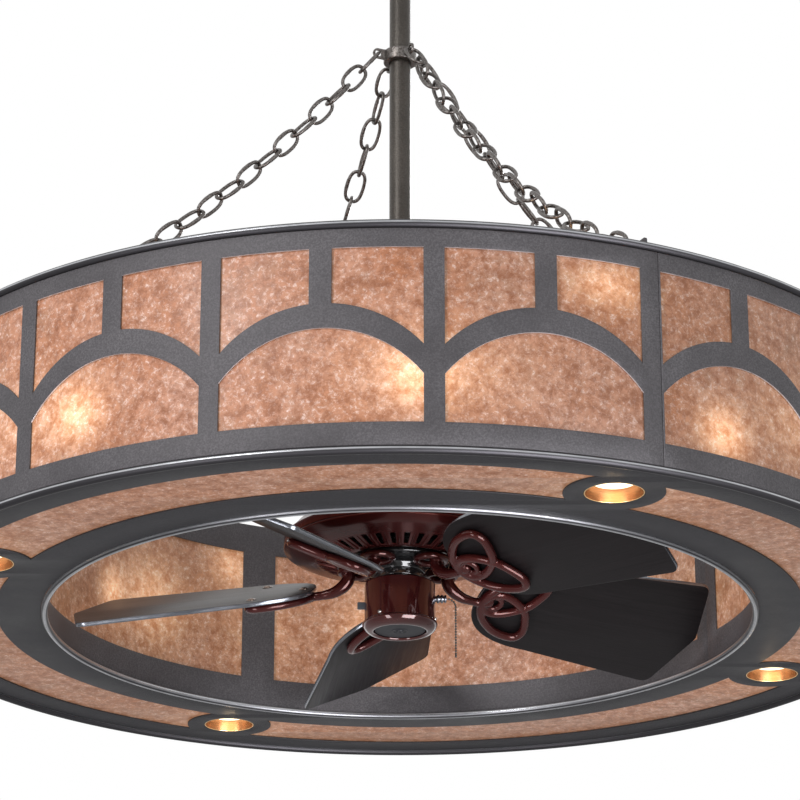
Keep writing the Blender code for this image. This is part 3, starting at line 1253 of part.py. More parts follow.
def make_reverse_switch():
    """Slide switch behind a slot in the wall, and the small lever that a finger moves up."""
    z = up(LEVER_HEIGHT)
    middle = z + LEVER_TRAVEL / 2
    inner = SWITCH_RADIUS - SWITCH_WALL
    face = math.sqrt(inner**2 - (REVERSE_BODY_WIDTH / 2) ** 2) * math.cos(math.pi / CUP_FACETS) - CLEARANCE
    body_place = Matrix.Translation((-face + REVERSE_BODY_DEPTH / 2, 0, middle))
    body_size = (REVERSE_BODY_DEPTH, REVERSE_BODY_WIDTH, REVERSE_BODY_HEIGHT)
    made = block("reverse_switch", body_size, BLACK, body_place)
    pocket = REVERSE_BODY_DEPTH / 2
    room = (
        pocket * 2,
        LEVER_WIDTH + CLEARANCE * 2,
        LEVER_DEPTH + LEVER_TRAVEL + CLEARANCE * 4,
    )
    cut(made, block("lever_pocket", room, BLACK, Matrix.Translation((-face, 0, middle))))
    tail = face - pocket + CLEARANCE
    length = LEVER_REACH - tail
    place = Matrix.Translation((-tail - length / 2, 0, z))
    block("reverse_lever", (length, LEVER_WIDTH, LEVER_DEPTH), BLACK, place)


make_ceiling_bracket()
make_canopy()
make_hanger_ball()
ball_pin("ball_pin", ROD_PIN_RADIUS, BALL_PIN_LENGTH)
make_downrod()
make_chain_collar()
set_screw("set_screw", SET_SCREW_RADIUS, COLLAR_RADIUS + SET_SCREW_HEAD)
for chain_number in range(CHAIN_COUNT):
    make_chain(chain_number)
make_drum()
make_floor_ring()
make_floor_mica()
make_inner_wall()
make_lamp_ring()
make_downlights()
make_coupling()
make_upper_housing()
make_vented_housing()
make_motor()
make_blades()
make_irons()
make_switch_housing()
make_pull_switch()
make_reverse_switch()
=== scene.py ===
import random
from math import acos, atan, atan2, copysign, cos, pi, radians, sin, sqrt, tau

import bmesh
import bpy
from mathutils import Matrix, Vector


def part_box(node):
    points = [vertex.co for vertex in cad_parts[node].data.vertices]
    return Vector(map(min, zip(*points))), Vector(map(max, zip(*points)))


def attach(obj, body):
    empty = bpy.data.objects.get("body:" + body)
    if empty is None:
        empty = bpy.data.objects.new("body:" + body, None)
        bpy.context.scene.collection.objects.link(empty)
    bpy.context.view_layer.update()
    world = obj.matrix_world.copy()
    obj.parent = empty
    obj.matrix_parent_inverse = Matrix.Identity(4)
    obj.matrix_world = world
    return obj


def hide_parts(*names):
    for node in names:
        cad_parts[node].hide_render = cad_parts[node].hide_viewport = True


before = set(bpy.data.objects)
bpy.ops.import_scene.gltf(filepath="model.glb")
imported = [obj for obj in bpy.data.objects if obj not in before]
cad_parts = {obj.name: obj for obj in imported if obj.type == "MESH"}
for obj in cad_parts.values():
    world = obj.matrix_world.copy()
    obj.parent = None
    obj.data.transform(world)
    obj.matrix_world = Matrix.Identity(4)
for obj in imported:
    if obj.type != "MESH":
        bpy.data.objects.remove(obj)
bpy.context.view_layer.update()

# Camera, floor and lights. The photograph looks up at the fan from 1.1 m below the drum and
# 3.7 m in front of it, with a long lens, against plain white.
CAMERA_PLACE = (0, -3.716, -2.210)
CAMERA_LENS = 146.17
LOOK_UP = radians(20.83)
FLOOR_Z = -4.7
FLOOR_SIZE = 40
WORLD_LIGHT = 0.36
# Heights are measured up from the underside of the drum's floor, which hangs this far down.
DRUM_DROP = 1.080


def up(height):
    return height - DRUM_DROP


def mesh_of(shape, name="mesh"):
    made = bpy.data.meshes.new(name)
    shape.to_mesh(made)
    shape.free()
    return made


def put(name, data):
    """Links a new object into the scene."""
    made = bpy.data.objects.new(name, data)
    bpy.context.scene.collection.objects.link(made)
    return made


def feed(tree, socket, value):
    """Links a node's output to a socket, or sets the socket to a number, place or colour."""
    if isinstance(value, bpy.types.NodeSocket):
        tree.links.new(value, socket)
    else:
        socket.default_value = (*value, 1) if socket.type == "RGBA" else value


def add_node(tree, kind, sockets=None, **settings):
    made = tree.nodes.new(kind)
    for key, value in settings.items():
        setattr(made, key, value)
    for key, value in (sockets or {}).items():
        feed(tree, made.inputs[key], value)
    return made


class Look:
    """A node material, with short ways to add its nodes."""

    def __init__(self, name, roughness=0.5, metallic=0.0, **sockets):
        self.material = bpy.data.materials.new(name)
        self.material.use_nodes = True
        self.tree = self.material.node_tree
        self.place = self.add("ShaderNodeTexCoord").outputs["Object"]
        self.set("Roughness", roughness)
        self.set("Metallic", metallic)
        for key, value in sockets.items():
            self.set(key.replace("_", " "), value)

    def set(self, socket, value):
        feed(self.tree, self.tree.nodes["Principled BSDF"].inputs[socket], value)

    def add(self, kind, sockets=None, **settings):
        return add_node(self.tree, kind, sockets, **settings)

    def noise(self, scale, detail=3.0, roughness=0.55, distortion=0.0, place=None):
        made = self.add("ShaderNodeTexNoise", {
            "Vector": place or self.place, "Scale": scale, "Detail": detail,
            "Roughness": roughness, "Distortion": distortion,
        })
        return made.outputs["Fac"]

    def stretched(self, scale, place=None):
        return self.add("ShaderNodeMapping", {"Vector": place or self.place, "Scale": scale}).outputs["Vector"]

    def spread(self, value, low, high, to_low=0.0, to_high=1.0):
        return self.add("ShaderNodeMapRange", {
            "Value": value, "From Min": low, "From Max": high, "To Min": to_low, "To Max": to_high,
        }).outputs["Result"]

    def math(self, operation, a, b=0.0):
        return self.add("ShaderNodeMath", {0: a, 1: b}, operation=operation).outputs[0]

    def mix(self, share, a, b, kind="MIX"):
        return self.add("ShaderNodeMix", {0: share, 6: a, 7: b}, data_type="RGBA", blend_type=kind).outputs[2]

    def paint(self, pattern, dark, light, low=None, high=None):
        """Colours the surface from dark to light by a pattern, spread from low to high."""
        share = pattern if low is None else self.spread(pattern, low, high)
        self.set("Base Color", self.mix(share, dark, light))

    def glow(self, colour, strength):
        self.set("Emission Color", colour)
        self.set("Emission Strength", strength)

    def bump(self, height, distance, strength):
        self.set("Normal", self.add("ShaderNodeBump", {
            "Height": height, "Distance": distance, "Strength": strength,
        }).outputs["Normal"])


def grained(name, noise, dark, light, spread=(), bump=(), stretch=None, **settings):
    """A look whose colour, and bumps if any, follow one noise pattern."""
    look = Look(name, **settings)
    look.grain = look.noise(*noise, place=stretch and look.stretched(stretch))
    look.paint(look.grain, dark, light, *spread)
    if bump:
        look.bump(look.grain, *bump)
    return look


camera = put("camera", bpy.data.cameras.new("camera"))
camera.data.lens = CAMERA_LENS
camera.data.sensor_width = 36
camera.location = CAMERA_PLACE
camera.rotation_euler = (pi / 2 + LOOK_UP, 0, 0)
bpy.context.scene.camera = camera
# The world is plain white where it is seen, also in a reflection, and lights the rest dimly.
bpy.context.scene.view_settings.view_transform = "Standard"
world = bpy.data.worlds.new("studio")
bpy.context.scene.world = world
world.use_nodes = True
rays = add_node(world.node_tree, "ShaderNodeLightPath").outputs
seen = rays["Is Camera Ray"]
for kind in ("Is Glossy Ray", "Is Transmission Ray"):
    seen = add_node(world.node_tree, "ShaderNodeMath", {0: seen, 1: rays[kind]}, operation="MAXIMUM").outputs[0]
strength = add_node(world.node_tree, "ShaderNodeMapRange", {"Value": seen, "To Min": WORLD_LIGHT, "To Max": 1.0})
sky = world.node_tree.nodes["Background"].inputs
feed(world.node_tree, sky["Color"], (1, 1, 1))
feed(world.node_tree, sky["Strength"], strength.outputs["Result"])

floor_shape = bmesh.new()
bmesh.ops.create_grid(floor_shape, x_segments=4, y_segments=4, size=FLOOR_SIZE / 2)
floor = put("studio_floor", mesh_of(floor_shape, "studio_floor"))
floor.location.z = FLOOR_Z
pale = grained("pale_floor", (3, 2), (0.88, 0.88, 0.88), (0.92, 0.92, 0.92), roughness=0.7)
floor.data.materials.append(pale.material)


def light(name, kind, place, power, colour):
    made = put(name, bpy.data.lights.new(name, kind))
    made.data.energy, made.data.color = power, colour
    made.location = place
    return made


def soft_light(name, place, size, power, colour=(1, 1, 1), highlights_only=False):
    """A rectangular studio light that faces the middle of the drum."""
    made = light(name, "AREA", place, power, colour)
    made.data.shape = "RECTANGLE"
    made.data.size, made.data.size_y = size
    made.rotation_euler = (Vector((0, 0, up(0.1))) - Vector(place)).to_track_quat("-Z", "Y").to_euler()
    made.visible_diffuse = not highlights_only


def lamp_light(name, place, power, radius, holder):
    """A small warm light that moves with the piece that holds it."""
    made = light(name, "POINT", place, power, (1, 0.72, 0.42))
    made.data.shadow_soft_size = radius
    made.parent = holder


soft_light("key", (-2.6, -3.6, 1.2), (1.0, 1.6), 82)
soft_light("fill", (3.0, -3.0, -2.0), (0.7, 2.6), 36, (0.96, 0.97, 1.0))
soft_light("under", (-2.2, -2.7, -2.5), (0.8, 2.6), 58, (0.98, 0.97, 1.0))
soft_light("back", (1.5, 3.5, 0.8), (1.2, 1.2), 66)
soft_light("sheen", (1.2, -2.2, -2.3), (1.7, 1.9), 130, (0.96, 0.96, 1.0), True)

# Drum wall: four quarters of 2 mm steel sheet, laser cut with an arch in each bay and rolled.
# Each quarter butts against the next beside a post, and carries a lug inside for its chain.
HANGING = "hanging_fan"
FIRST_POST = radians(3.36)
PANELS = 16
PANEL = tau / PANELS
QUARTER = tau / 4
FIRST_QUARTER = FIRST_POST + PANEL
WALL_RADIUS = 0.60535
WALL_THICKNESS = 0.002
WALL_BOTTOM = 0.0045
WALL_TOP = 0.246
POST_WIDTH = 0.022
SHORT_POST_WIDTH = 0.024
SEAM_STRIP = 0.0025
SEAM_GAP = 0.0005
WINDOW_BOTTOM = 0.030
RAIL_BOTTOM = 0.2245
ARCH_CROWN, ARCH_SPRING = 0.135, 0.083
OVER_CROWN, OVER_SPRING = 0.163, 0.116
SHEET_EDGE = 0.0004
ROLL_STEP = radians(1.40625)
CUT_LOW, CUT_HIGH = 0.06, 0.23
bay = PANEL * WALL_RADIUS


def around(angle, radius, z):
    return Vector((radius * cos(angle), radius * sin(angle), z))


def quarters():
    return [FIRST_QUARTER + k * QUARTER for k in range(4)]


def ring_points(radius, steps, centre=(0, 0), start=0.0, stop=tau):
    """Points of a circle, or of an arc with both its ends."""
    whole = stop - start >= tau
    angles = [start + (stop - start) * i / steps for i in range(steps if whole else steps + 1)]
    return [(centre[0] + radius * cos(a), centre[1] + radius * sin(a)) for a in angles]


def upright(turn, height):
    """Stands a flat XY outline on edge, in the plane through Z at an angle."""
    return Matrix.Translation((0, 0, height)) @ Matrix.Rotation(turn, 4, "Z") @ Matrix.Rotation(pi / 2, 4, "X")


def piece(name, mesh, look, body, replaces=(), sharp=35):
    """Puts a mesh in the scene as a piece of the object, riding on a body."""
    made = put(name, mesh)
    for each in look if isinstance(look, list) else [look]:
        mesh.materials.append(each)
    mesh.shade_smooth()
    mesh.set_sharp_from_angle(angle=radians(sharp))
    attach(made, body)
    if replaces:
        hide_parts(*replaces)
    return made


def rounded(points, radius, steps=4, closed=False):
    """A 2-D line with each corner turned into a small arc. A point may carry its own radius."""
    made = []
    count = len(points)
    for i, point in enumerate(points):
        here = Vector(point[:2])
        size = point[2] if len(point) > 2 else radius
        if size == 0 or (not closed and i in (0, count - 1)):
            made.append(tuple(here))
            continue
        before = Vector(points[i - 1][:2]) - here
        after = Vector(points[(i + 1) % count][:2]) - here
        size = min(size, before.length * 0.45, after.length * 0.45)
        start, end = here + before.normalized() * size, here + after.normalized() * size
        for k in range(steps + 1):
            t = k / steps
            made.append(tuple(start * (1 - t) ** 2 + here * 2 * t * (1 - t) + end * t**2))
    return made


def evaluated(item):
    """A new mesh of the item as it stands, with its modifiers."""
    bpy.context.view_layer.update()
    return bpy.data.meshes.new_from_object(item.evaluated_get(bpy.context.evaluated_depsgraph_get()))


def add_mesh(shape, extra, place=Matrix.Identity(4)):
    """Adds a mesh, standing in the given place, to a bmesh."""
    extra.transform(place)
    shape.from_mesh(extra)
    bpy.data.meshes.remove(extra)


def flat_sheet(outlines, thickness, edge):
    """A flat sheet in XY with holes and softened edges."""
    curve = bpy.data.curves.new("sheet", "CURVE")
    curve.dimensions = "2D"
    curve.fill_mode = "BOTH"
    curve.extrude = thickness / 2 - edge
    curve.bevel_depth = edge
    curve.bevel_resolution = 1
    curve.offset = -edge
    for outline in outlines:
        spline = curve.splines.new("POLY")
        spline.points.add(len(outline) - 1)
        for point, place in zip(spline.points, outline):
            point.co = (place[0], place[1], 0, 1)
        spline.use_cyclic_u = True
    item = put("sheet", curve)
    mesh = evaluated(item)
    bpy.data.objects.remove(item)
    shape = bmesh.new()
    shape.from_mesh(mesh)
    bmesh.ops.remove_doubles(shape, verts=shape.verts, dist=1e-6)
    bpy.data.meshes.remove(mesh)
    return shape


def roll_up(shape, start, radius, step):
    """Rolls a flat sheet, x along the wall and y up, into a cylinder about Z."""
    length = max(vert.co.x for vert in shape.verts)
    lines = int(length / radius / step)
    for i in range(1, lines + 1):
        bmesh.ops.bisect_plane(
            shape, geom=shape.verts[:] + shape.edges[:] + shape.faces[:], dist=1e-6,
            plane_co=(i * step * radius, 0, 0), plane_no=(1, 0, 0),
        )
    for vert in shape.verts:
        vert.co = around(start + vert.co.x / radius, radius + vert.co.z, up(vert.co.y))
    return mesh_of(shape)


def bronze_look(
    name, light=(0.150, 0.141, 0.149), dark=(0.052, 0.048, 0.052), roughness=0.48, metallic=0.22, specular=0.28,
):
    """Dark bronze powder coat: a fine speckle over slow, cloudy shading."""
    look = Look(name, metallic=metallic, Specular_IOR_Level=specular)
    cloud = look.noise(9, 4, 0.6)
    speckle = look.spread(look.noise(480, 3, 0.7), 0.40, 0.66)
    share = look.math("MULTIPLY", look.spread(cloud, 0.3, 0.7, 0.35, 1.0), look.spread(speckle, 0, 1, 0.30, 1.0))
    look.paint(share, dark, light)
    look.set("Roughness", look.spread(cloud, 0.3, 0.7, roughness - 0.06, roughness + 0.1))
    look.bump(speckle, 0.00016, 0.7)
    return look.material


BRONZE = bronze_look("bronze_wall")
# Painted highlight: a pale, shinier finish for the arches' downward-facing cut edges.
CUT_EDGE_HIGHLIGHT = grained(
    "cut_edge_painted_highlight", (120, 3, 0.6), (0.58, 0.58, 0.62), (0.85, 0.85, 0.90), (0.35, 0.65), (0.0001, 0.3),
    roughness=0.3, metallic=0.6,
).material


def arch(low, high, middle, spring, crown, steps):
    """Points of a round arch from x low to x high, whose span is that of a bay's window."""
    half = (bay - POST_WIDTH) / 2
    rise = crown - spring
    radius = (half**2 + rise**2) / (2 * rise)
    xs = [low + (high - low) * i / steps for i in range(steps + 1)]
    return [(x, crown - radius + sqrt(max(radius**2 - (x - middle) ** 2, 0))) for x in xs]


def bay_windows(number):
    left = number * bay + (SEAM_STRIP if number == 0 else 0)
    right = (number + 1) * bay - POST_WIDTH
    middle = number * bay + (bay - POST_WIDTH) / 2
    post = SHORT_POST_WIDTH / 2
    under = [(left, WINDOW_BOTTOM), (right, WINDOW_BOTTOM)]
    under += arch(right, left, middle, ARCH_SPRING, ARCH_CROWN, 28)
    windows = [under]
    for low, high in ((left, middle - post), (middle + post, right)):
        over = arch(low, high, middle, OVER_SPRING, OVER_CROWN, 14)
        windows.append(over + [(high, RAIL_BOTTOM), (low, RAIL_BOTTOM)])
    return windows


LUG_EDGE = [
    (0.6046, 0.236), (0.6046, 0.2445), (0.6014, 0.2445), (0.6014, 0.264), (0.5836, 0.264), (0.5836, 0.246),
    (0.598, 0.236),
]
LUG_THICKNESS, LUG_CORNER = 0.003, 0.003
EYE_RADIUS, EYE_PLACE = 0.0045, (0.5902, 0.256)
wall_end = QUARTER * WALL_RADIUS - SEAM_GAP
for number, turn in enumerate(quarters()):
    outlines = [[(0, WALL_BOTTOM), (wall_end, WALL_BOTTOM), (wall_end, WALL_TOP), (0, WALL_TOP)]]
    for bay_number in range(PANELS // 4):
        outlines += bay_windows(bay_number)
    sheet = flat_sheet(outlines, WALL_THICKNESS, SHEET_EDGE)
    wall = roll_up(sheet, turn - QUARTER + POST_WIDTH / 2 / WALL_RADIUS, WALL_RADIUS, ROLL_STEP)
    tab = rounded(LUG_EDGE, LUG_CORNER, 4, True)
    lug = mesh_of(flat_sheet([tab, ring_points(EYE_RADIUS, 20, EYE_PLACE)], LUG_THICKNESS, SHEET_EDGE))
    shape = bmesh.new()
    add_mesh(shape, wall)
    add_mesh(shape, lug, upright(turn, -DRUM_DROP))
    # Painted highlight: cut faces that face down, between two heights on the outer wall, take the pale finish.
    for face in shape.faces:
        middle = face.calc_center_median()
        if face.normal.z < -0.45 and up(CUT_LOW) < middle.z < up(CUT_HIGH) and middle.xy.length > 0.6:
            face.material_index = 1
    looks = [BRONZE, CUT_EDGE_HIGHLIGHT]
    piece(f"wall_quarter_{number + 1}", mesh_of(shape), looks, HANGING, [f"drum_section_{number + 1}"])

# Rims: round steel rod rolled into hoops and brazed along the wall's edges, smoother than the sheet.
# A long highlight is painted along each rod, on the side of it that faces a given way.
RIM_ROD, INNER_RIM_ROD = 0.0047, 0.004
TOP_RIM_HEIGHT, LOW_RIM_HEIGHT = 0.251, -0.0005
INNER_RIM_RADIUS = 0.4222


def lathe(profile, steps):
    """A surface of revolution about Z through a closed (r, z) profile."""
    shape = bmesh.new()
    rings = [[shape.verts.new(around(tau * i / steps, r, z)) for r, z in profile] for i in range(steps)]
    count = len(profile)
    for a, b in zip(rings, rings[1:] + rings[:1]):
        for j in range(count):
            shape.faces.new((a[j], b[j], b[(j + 1) % count], a[(j + 1) % count]))
    bmesh.ops.remove_doubles(shape, verts=shape.verts, dist=1e-6)
    bmesh.ops.recalc_face_normals(shape, faces=shape.faces)
    return mesh_of(shape)


def rim_look(name, highlight_bands):
    """Rolled dark rod with a painted highlight: lighter and smoother where its surface faces within each band, broken
    up by noise.
    """
    look = Look(name, metallic=0.8)
    facing = look.add("ShaderNodeSeparateXYZ", {0: look.add("ShaderNodeTexCoord").outputs["Normal"]}).outputs[2]
    painted_highlight = 0.0
    for middle, spread in highlight_bands:
        off = look.math("ABSOLUTE", look.math("SUBTRACT", facing, middle))
        painted_highlight = look.math("MAXIMUM", look.spread(off, 0, spread, 1, 0), painted_highlight)
    highlight_patches = look.noise(30, 4, 0.6)
    share = look.math("MULTIPLY", painted_highlight, look.spread(highlight_patches, 0.3, 0.7, 0.65, 1.0))
    # Painted highlight: light where the surface faces within a band, dark elsewhere.
    look.paint(share, (0.040, 0.038, 0.042), (0.62, 0.63, 0.66))
    look.set("Roughness", look.spread(share, 0, 1, 0.42, 0.22))
    look.bump(look.noise(500, 2), 0.0001, 0.3)
    return look.material


OUTER_RIM = rim_look("bronze_rim", [(0.25, 0.32)])
INNER_RIM = rim_look("bronze_inner_rim", [(0.2, 0.85), (-1.0, 0.2)])
for name, look, radius, height, thick in (
    ("top_rim", OUTER_RIM, WALL_RADIUS, TOP_RIM_HEIGHT, RIM_ROD),
    ("bottom_rim", OUTER_RIM, WALL_RADIUS, LOW_RIM_HEIGHT, RIM_ROD),
    ("inner_rim", INNER_RIM, INNER_RIM_RADIUS, LOW_RIM_HEIGHT, INNER_RIM_ROD),
):
    ring = ring_points(thick, 16, (radius, up(height)))
    piece(f"{name}_hoop", lathe(ring, 256), look, HANGING, [name], 60)


# Mica: sheets of flakes pressed with amber resin, 1.2 mm thick, behind the windows. Each bay
# has its own cut of sheet. The light of the lamps behind is painted into it as glowing spots.
def mica_look(name, painted_glows, seam_turn, seams, glow):
    """Mica sheets between seams, with painted glow. Each spot is (angle, how many, height, width, rise, power) of
    painted glow, and glow is an even painted glow over the whole sheet.
    """
    look = Look(name, roughness=0.38, Specular_IOR_Level=0.35)
    parts = look.add("ShaderNodeSeparateXYZ", {0: look.place})
    x, y, z = (parts.outputs[i] for i in range(3))
    angle = look.math("ARCTAN2", y, x)
    past_seam = look.math("SUBTRACT", angle, seam_turn)
    sheet_number = look.math("FLOOR", look.math("DIVIDE", past_seam, tau / seams))
    random_sheet = look.add("ShaderNodeTexWhiteNoise", {"W": sheet_number}, noise_dimensions="1D")
    shifted = look.add("ShaderNodeVectorMath", {0: look.place, 1: random_sheet.outputs["Color"]}, operation="ADD")
    place = shifted.outputs["Vector"]
    broad = look.noise(8, 4, 0.62, 0.8, place)
    smoke = look.noise(19, 5, 0.7, 0.3, place)
    patches = look.noise(75, 6, 0.75, 0.25, place)
    flakes = look.noise(230, 5, 0.78, 0.45, place)
    grain = look.noise(900, 2, 0.6, 0.0, place)
    base = look.mix(look.spread(broad, 0.36, 0.64), (0.45, 0.160, 0.070), (0.57, 0.290, 0.200))
    base = look.mix(look.spread(smoke, 0.52, 0.74, 0.0, 0.65), base, (0.215, 0.130, 0.088))
    base = look.mix(look.spread(patches, 0.36, 0.58, 0.0, 1.0), (0.235, 0.082, 0.038), base)
    bright = look.math("MULTIPLY", look.spread(flakes, 0.51, 0.68), look.spread(patches, 0.42, 0.62, 0.2, 1.0))
    base = look.mix(look.math("MULTIPLY", bright, 0.9), base, (0.98, 0.83, 0.78))
    base = look.mix(look.spread(grain, 0.3, 0.7, 0.75, 1.0), (0.30, 0.14, 0.09), base)
    tint = look.spread(random_sheet.outputs["Value"], 0, 1, 0.86, 1.08)
    grey = look.add("ShaderNodeCombineColor", {0: tint, 1: tint, 2: tint}).outputs[0]
    base = look.mix(1.0, base, grey, "MULTIPLY")
    look.set("Base Color", base)
    # Painted glow: soft spots of emission where lamps would shine through the sheet, plus an even glow.
    total = None
    for start, count, at, wide, tall, power in painted_glows:
        step = tau / count
        turned_by = look.math("ADD", look.math("SUBTRACT", angle, start), tau * 2 + step / 2)
        off = look.math("SUBTRACT", look.math("MODULO", turned_by, step), step / 2)
        across = look.math("DIVIDE", off, wide)
        above = look.math("DIVIDE", look.math("SUBTRACT", z, up(at)), tall)
        far = look.math("ADD", look.math("MULTIPLY", across, across), look.math("MULTIPLY", above, above))
        spot = look.math("MULTIPLY", look.math("EXPONENT", look.math("MULTIPLY", far, -1.0)), power)
        total = spot if total is None else look.math("ADD", total, spot)
    lit = look.mix(look.spread(flakes, 0.3, 0.75), (1.0, 0.52, 0.24), (1.0, 0.80, 0.56))
    lit = look.mix(look.spread(patches, 0.38, 0.6), (0.72, 0.30, 0.12), lit)
    look.glow(lit, look.math("ADD", total, glow))
    look.bump(look.math("ADD", patches, look.math("MULTIPLY", flakes, 0.5)), 0.0005, 0.5)
    return look.material


BULB_START = FIRST_POST
BULBS = 8
LAMP_HEIGHT = 0.130
# Painted glow spots on the outer mica, as angle in degrees and height.
PAINTED_BULB_GLOWS = [
    (-124.5, 0.078), (-88.2, 0.079), (-55.4, 0.056), (3.4, 0.078), (48.4, 0.078), (93.4, 0.078), (138.4, 0.078),
    (183.4, 0.078),
]
MICA_THICKNESS, MICA_EDGE = 0.0012, 0.0003
outer_painted_glows = [(radians(at), 1, height, 0.052, 0.030, 0.85) for at, height in PAINTED_BULB_GLOWS] + [
    (BULB_START, BULBS, 0.090, 0.14, 0.045, 0.35), (radians(-68.8), 4, 0.199, 0.075, 0.026, 0.55),
]
OUTER_MICA = mica_look("mica_outer", outer_painted_glows, FIRST_POST, PANELS, 0.10)
INNER_MICA = mica_look("mica_inner", [
    (radians(148.3), 1, 0.108, 0.055, 0.032, 0.55), (radians(121.0), 1, 0.190, 0.07, 0.030, 0.45),
    (BULB_START, BULBS, 0.118, 0.13, 0.05, 0.5), (FIRST_QUARTER, 4, 0.11, 0.12, 0.06, 0.2),
], FIRST_QUARTER, 4, 0.12)
FLOOR_MICA = mica_look("mica_floor", [(FIRST_QUARTER, 4, 0.0, 0.16, 0.5, 0.14)], FIRST_QUARTER, 4, 0.10)


def band(inner, outer, low, high, edge, steps=2):
    """Profile of a ring with a rectangular section and softened edges."""
    return rounded([(outer, up(high)), (outer, up(low)), (inner, up(low)), (inner, up(high))], edge, steps, True)


for name, look, sizes, steps in (
    ("outer_mica", OUTER_MICA, (0.6024, 0.6037, 0.005, 0.2305), 256),
    ("inner_mica", INNER_MICA, (0.4297, 0.4309, 0.0026, 0.2438), 192),
):
    piece(f"{name}_sheets", lathe(band(*sizes, MICA_EDGE), steps), look, HANGING, [name])

# Drum floor: a flat plate with four long windows, and a round pad between each two for a
# downlight. A mica ring lies on it.
FLOOR_OUTER, FLOOR_INNER = 0.6003, 0.4266
WINDOW_OUTER, WINDOW_INNER = 0.5605, 0.4795
LIGHT_CIRCLE = 0.520
PAD_RADIUS = 0.055
LIGHT_HOLE = 0.033
FLOOR_THICKNESS = 0.002
FLOOR_MICA_OUTER, FLOOR_MICA_INNER, MICA_HOLE = 0.5815, 0.4472, 0.0402
FLOOR_MICA_MIDDLE = 0.0029
# Painted shade: the floor plate takes the wall's bronze made darker, for its shaded underside.
SHADED_FLOOR_BRONZE = bronze_look("bronze_floor_painted_shade", (0.052, 0.050, 0.056), (0.028, 0.027, 0.030), 0.5, 0.2, 0.25)


def floor_window(first):
    """Outline of a window from one pad to the next: two long arcs and two pad arcs."""
    last = first + QUARTER

    def meeting(radius):
        return acos((radius**2 + LIGHT_CIRCLE**2 - PAD_RADIUS**2) / (2 * radius * LIGHT_CIRCLE))

    far, near = meeting(WINDOW_OUTER), meeting(WINDOW_INNER)
    points = ring_points(WINDOW_OUTER, 60, start=first + far, stop=last - far)
    for turn, begin, end in (
        (last, (WINDOW_OUTER, -far), (WINDOW_INNER, -near)), (first, (WINDOW_INNER, near), (WINDOW_OUTER, far)),
    ):
        centre = around(turn, LIGHT_CIRCLE, 0)
        angles = [around(turn + offset, radius, 0) - centre for radius, offset in (begin, end)]
        a, b = (atan2(v.y, v.x) for v in angles)
        b = a - (a - b) % tau
        points += [tuple((centre + around(a + (b - a) * i / 12, PAD_RADIUS, 0)).xy) for i in range(1, 12)]
        if turn == last:
            points += ring_points(WINDOW_INNER, 60, start=last - near, stop=first + near)
    return points


def light_holes(radius):
    return [ring_points(radius, 40, around(turn, LIGHT_CIRCLE, 0).xy) for turn in quarters()]


plate_edges = [ring_points(FLOOR_OUTER, 256), ring_points(FLOOR_INNER, 192)]
plate_edges += [floor_window(turn) for turn in quarters()] + light_holes(LIGHT_HOLE)
floor_mesh = mesh_of(flat_sheet(plate_edges, FLOOR_THICKNESS, SHEET_EDGE))
floor_mesh.transform(Matrix.Translation((0, 0, up(FLOOR_THICKNESS / 2))))
piece("drum_floor", floor_mesh, SHADED_FLOOR_BRONZE, HANGING, ["floor_ring"])
mica_edges = [ring_points(FLOOR_MICA_OUTER, 256), ring_points(FLOOR_MICA_INNER, 192)] + light_holes(MICA_HOLE)
mica_mesh = mesh_of(flat_sheet(mica_edges, MICA_THICKNESS, MICA_EDGE))
mica_mesh.transform(Matrix.Translation((0, 0, up(FLOOR_MICA_MIDDLE))))
piece("floor_mica_sheets", mica_mesh, FLOOR_MICA, HANGING, ["floor_mica"])

# Inner wall: one band of the same sheet round the fan, with four long windows between wide
# posts at the chains' bearings.
INNER_RADIUS = 0.4278
inner_bay = QUARTER * INNER_RADIUS
INNER_POST = 0.046
INNER_BOTTOM, INNER_TOP = 0.0025, 0.250
INNER_WINDOW_LOW, INNER_WINDOW_HIGH = 0.041, 0.2115
INNER_SEAM = 0.0003
INNER_ROLL_STEP = radians(1.875)
inner_end = inner_bay * 4 - INNER_SEAM
inner_outlines = [[(0, INNER_BOTTOM), (inner_end, INNER_BOTTOM), (inner_end, INNER_TOP), (0, INNER_TOP)]]
for number in range(4):
    low, high = number * inner_bay + INNER_POST / 2, (number + 1) * inner_bay - INNER_POST / 2
    inner_outlines.append([
        (low, INNER_WINDOW_LOW), (high, INNER_WINDOW_LOW), (high, INNER_WINDOW_HIGH), (low, INNER_WINDOW_HIGH),
    ])
inner_sheet = flat_sheet(inner_outlines, WALL_THICKNESS, SHEET_EDGE)
inner_mesh = roll_up(inner_sheet, FIRST_QUARTER, INNER_RADIUS, INNER_ROLL_STEP)
piece("inner_band", inner_mesh, BRONZE, HANGING, ["inner_wall"])

# Chains: welded oval links of 4 mm wire, darkened, from the collar's ears down to the wall's
# lugs. They sag a little, and the links lie turned by uneven amounts.
CHAIN_WIRE = 0.0023
CHAIN_WIDTH = 0.026
CHAIN_LINKS = 21
CHAIN_SAG = 0.058
EAR_PLACE = (0.031, 0.750)
LUG_PLACE = (0.590, 0.256)
EYE_SLACK = 0.0018
LINK_REACH = CHAIN_WIRE * 0.98
LINK_STEPS = 36
WELD_STEPS, WELD_BULGE = (8, 9, 10), 1.13
CHAIN_LEANS = (38, 30, -34, 36)

chain_look = grained(
    "chain_metal", (420, 4, 0.65), (0.06, 0.05, 0.045), (0.21, 0.195, 0.185), (0.35, 0.65), (0.0002, 0.4), metallic=0.9,
)
chain_look.set("Roughness", chain_look.spread(chain_look.grain, 0.3, 0.7, 0.24, 0.48))
CHAIN = chain_look.material


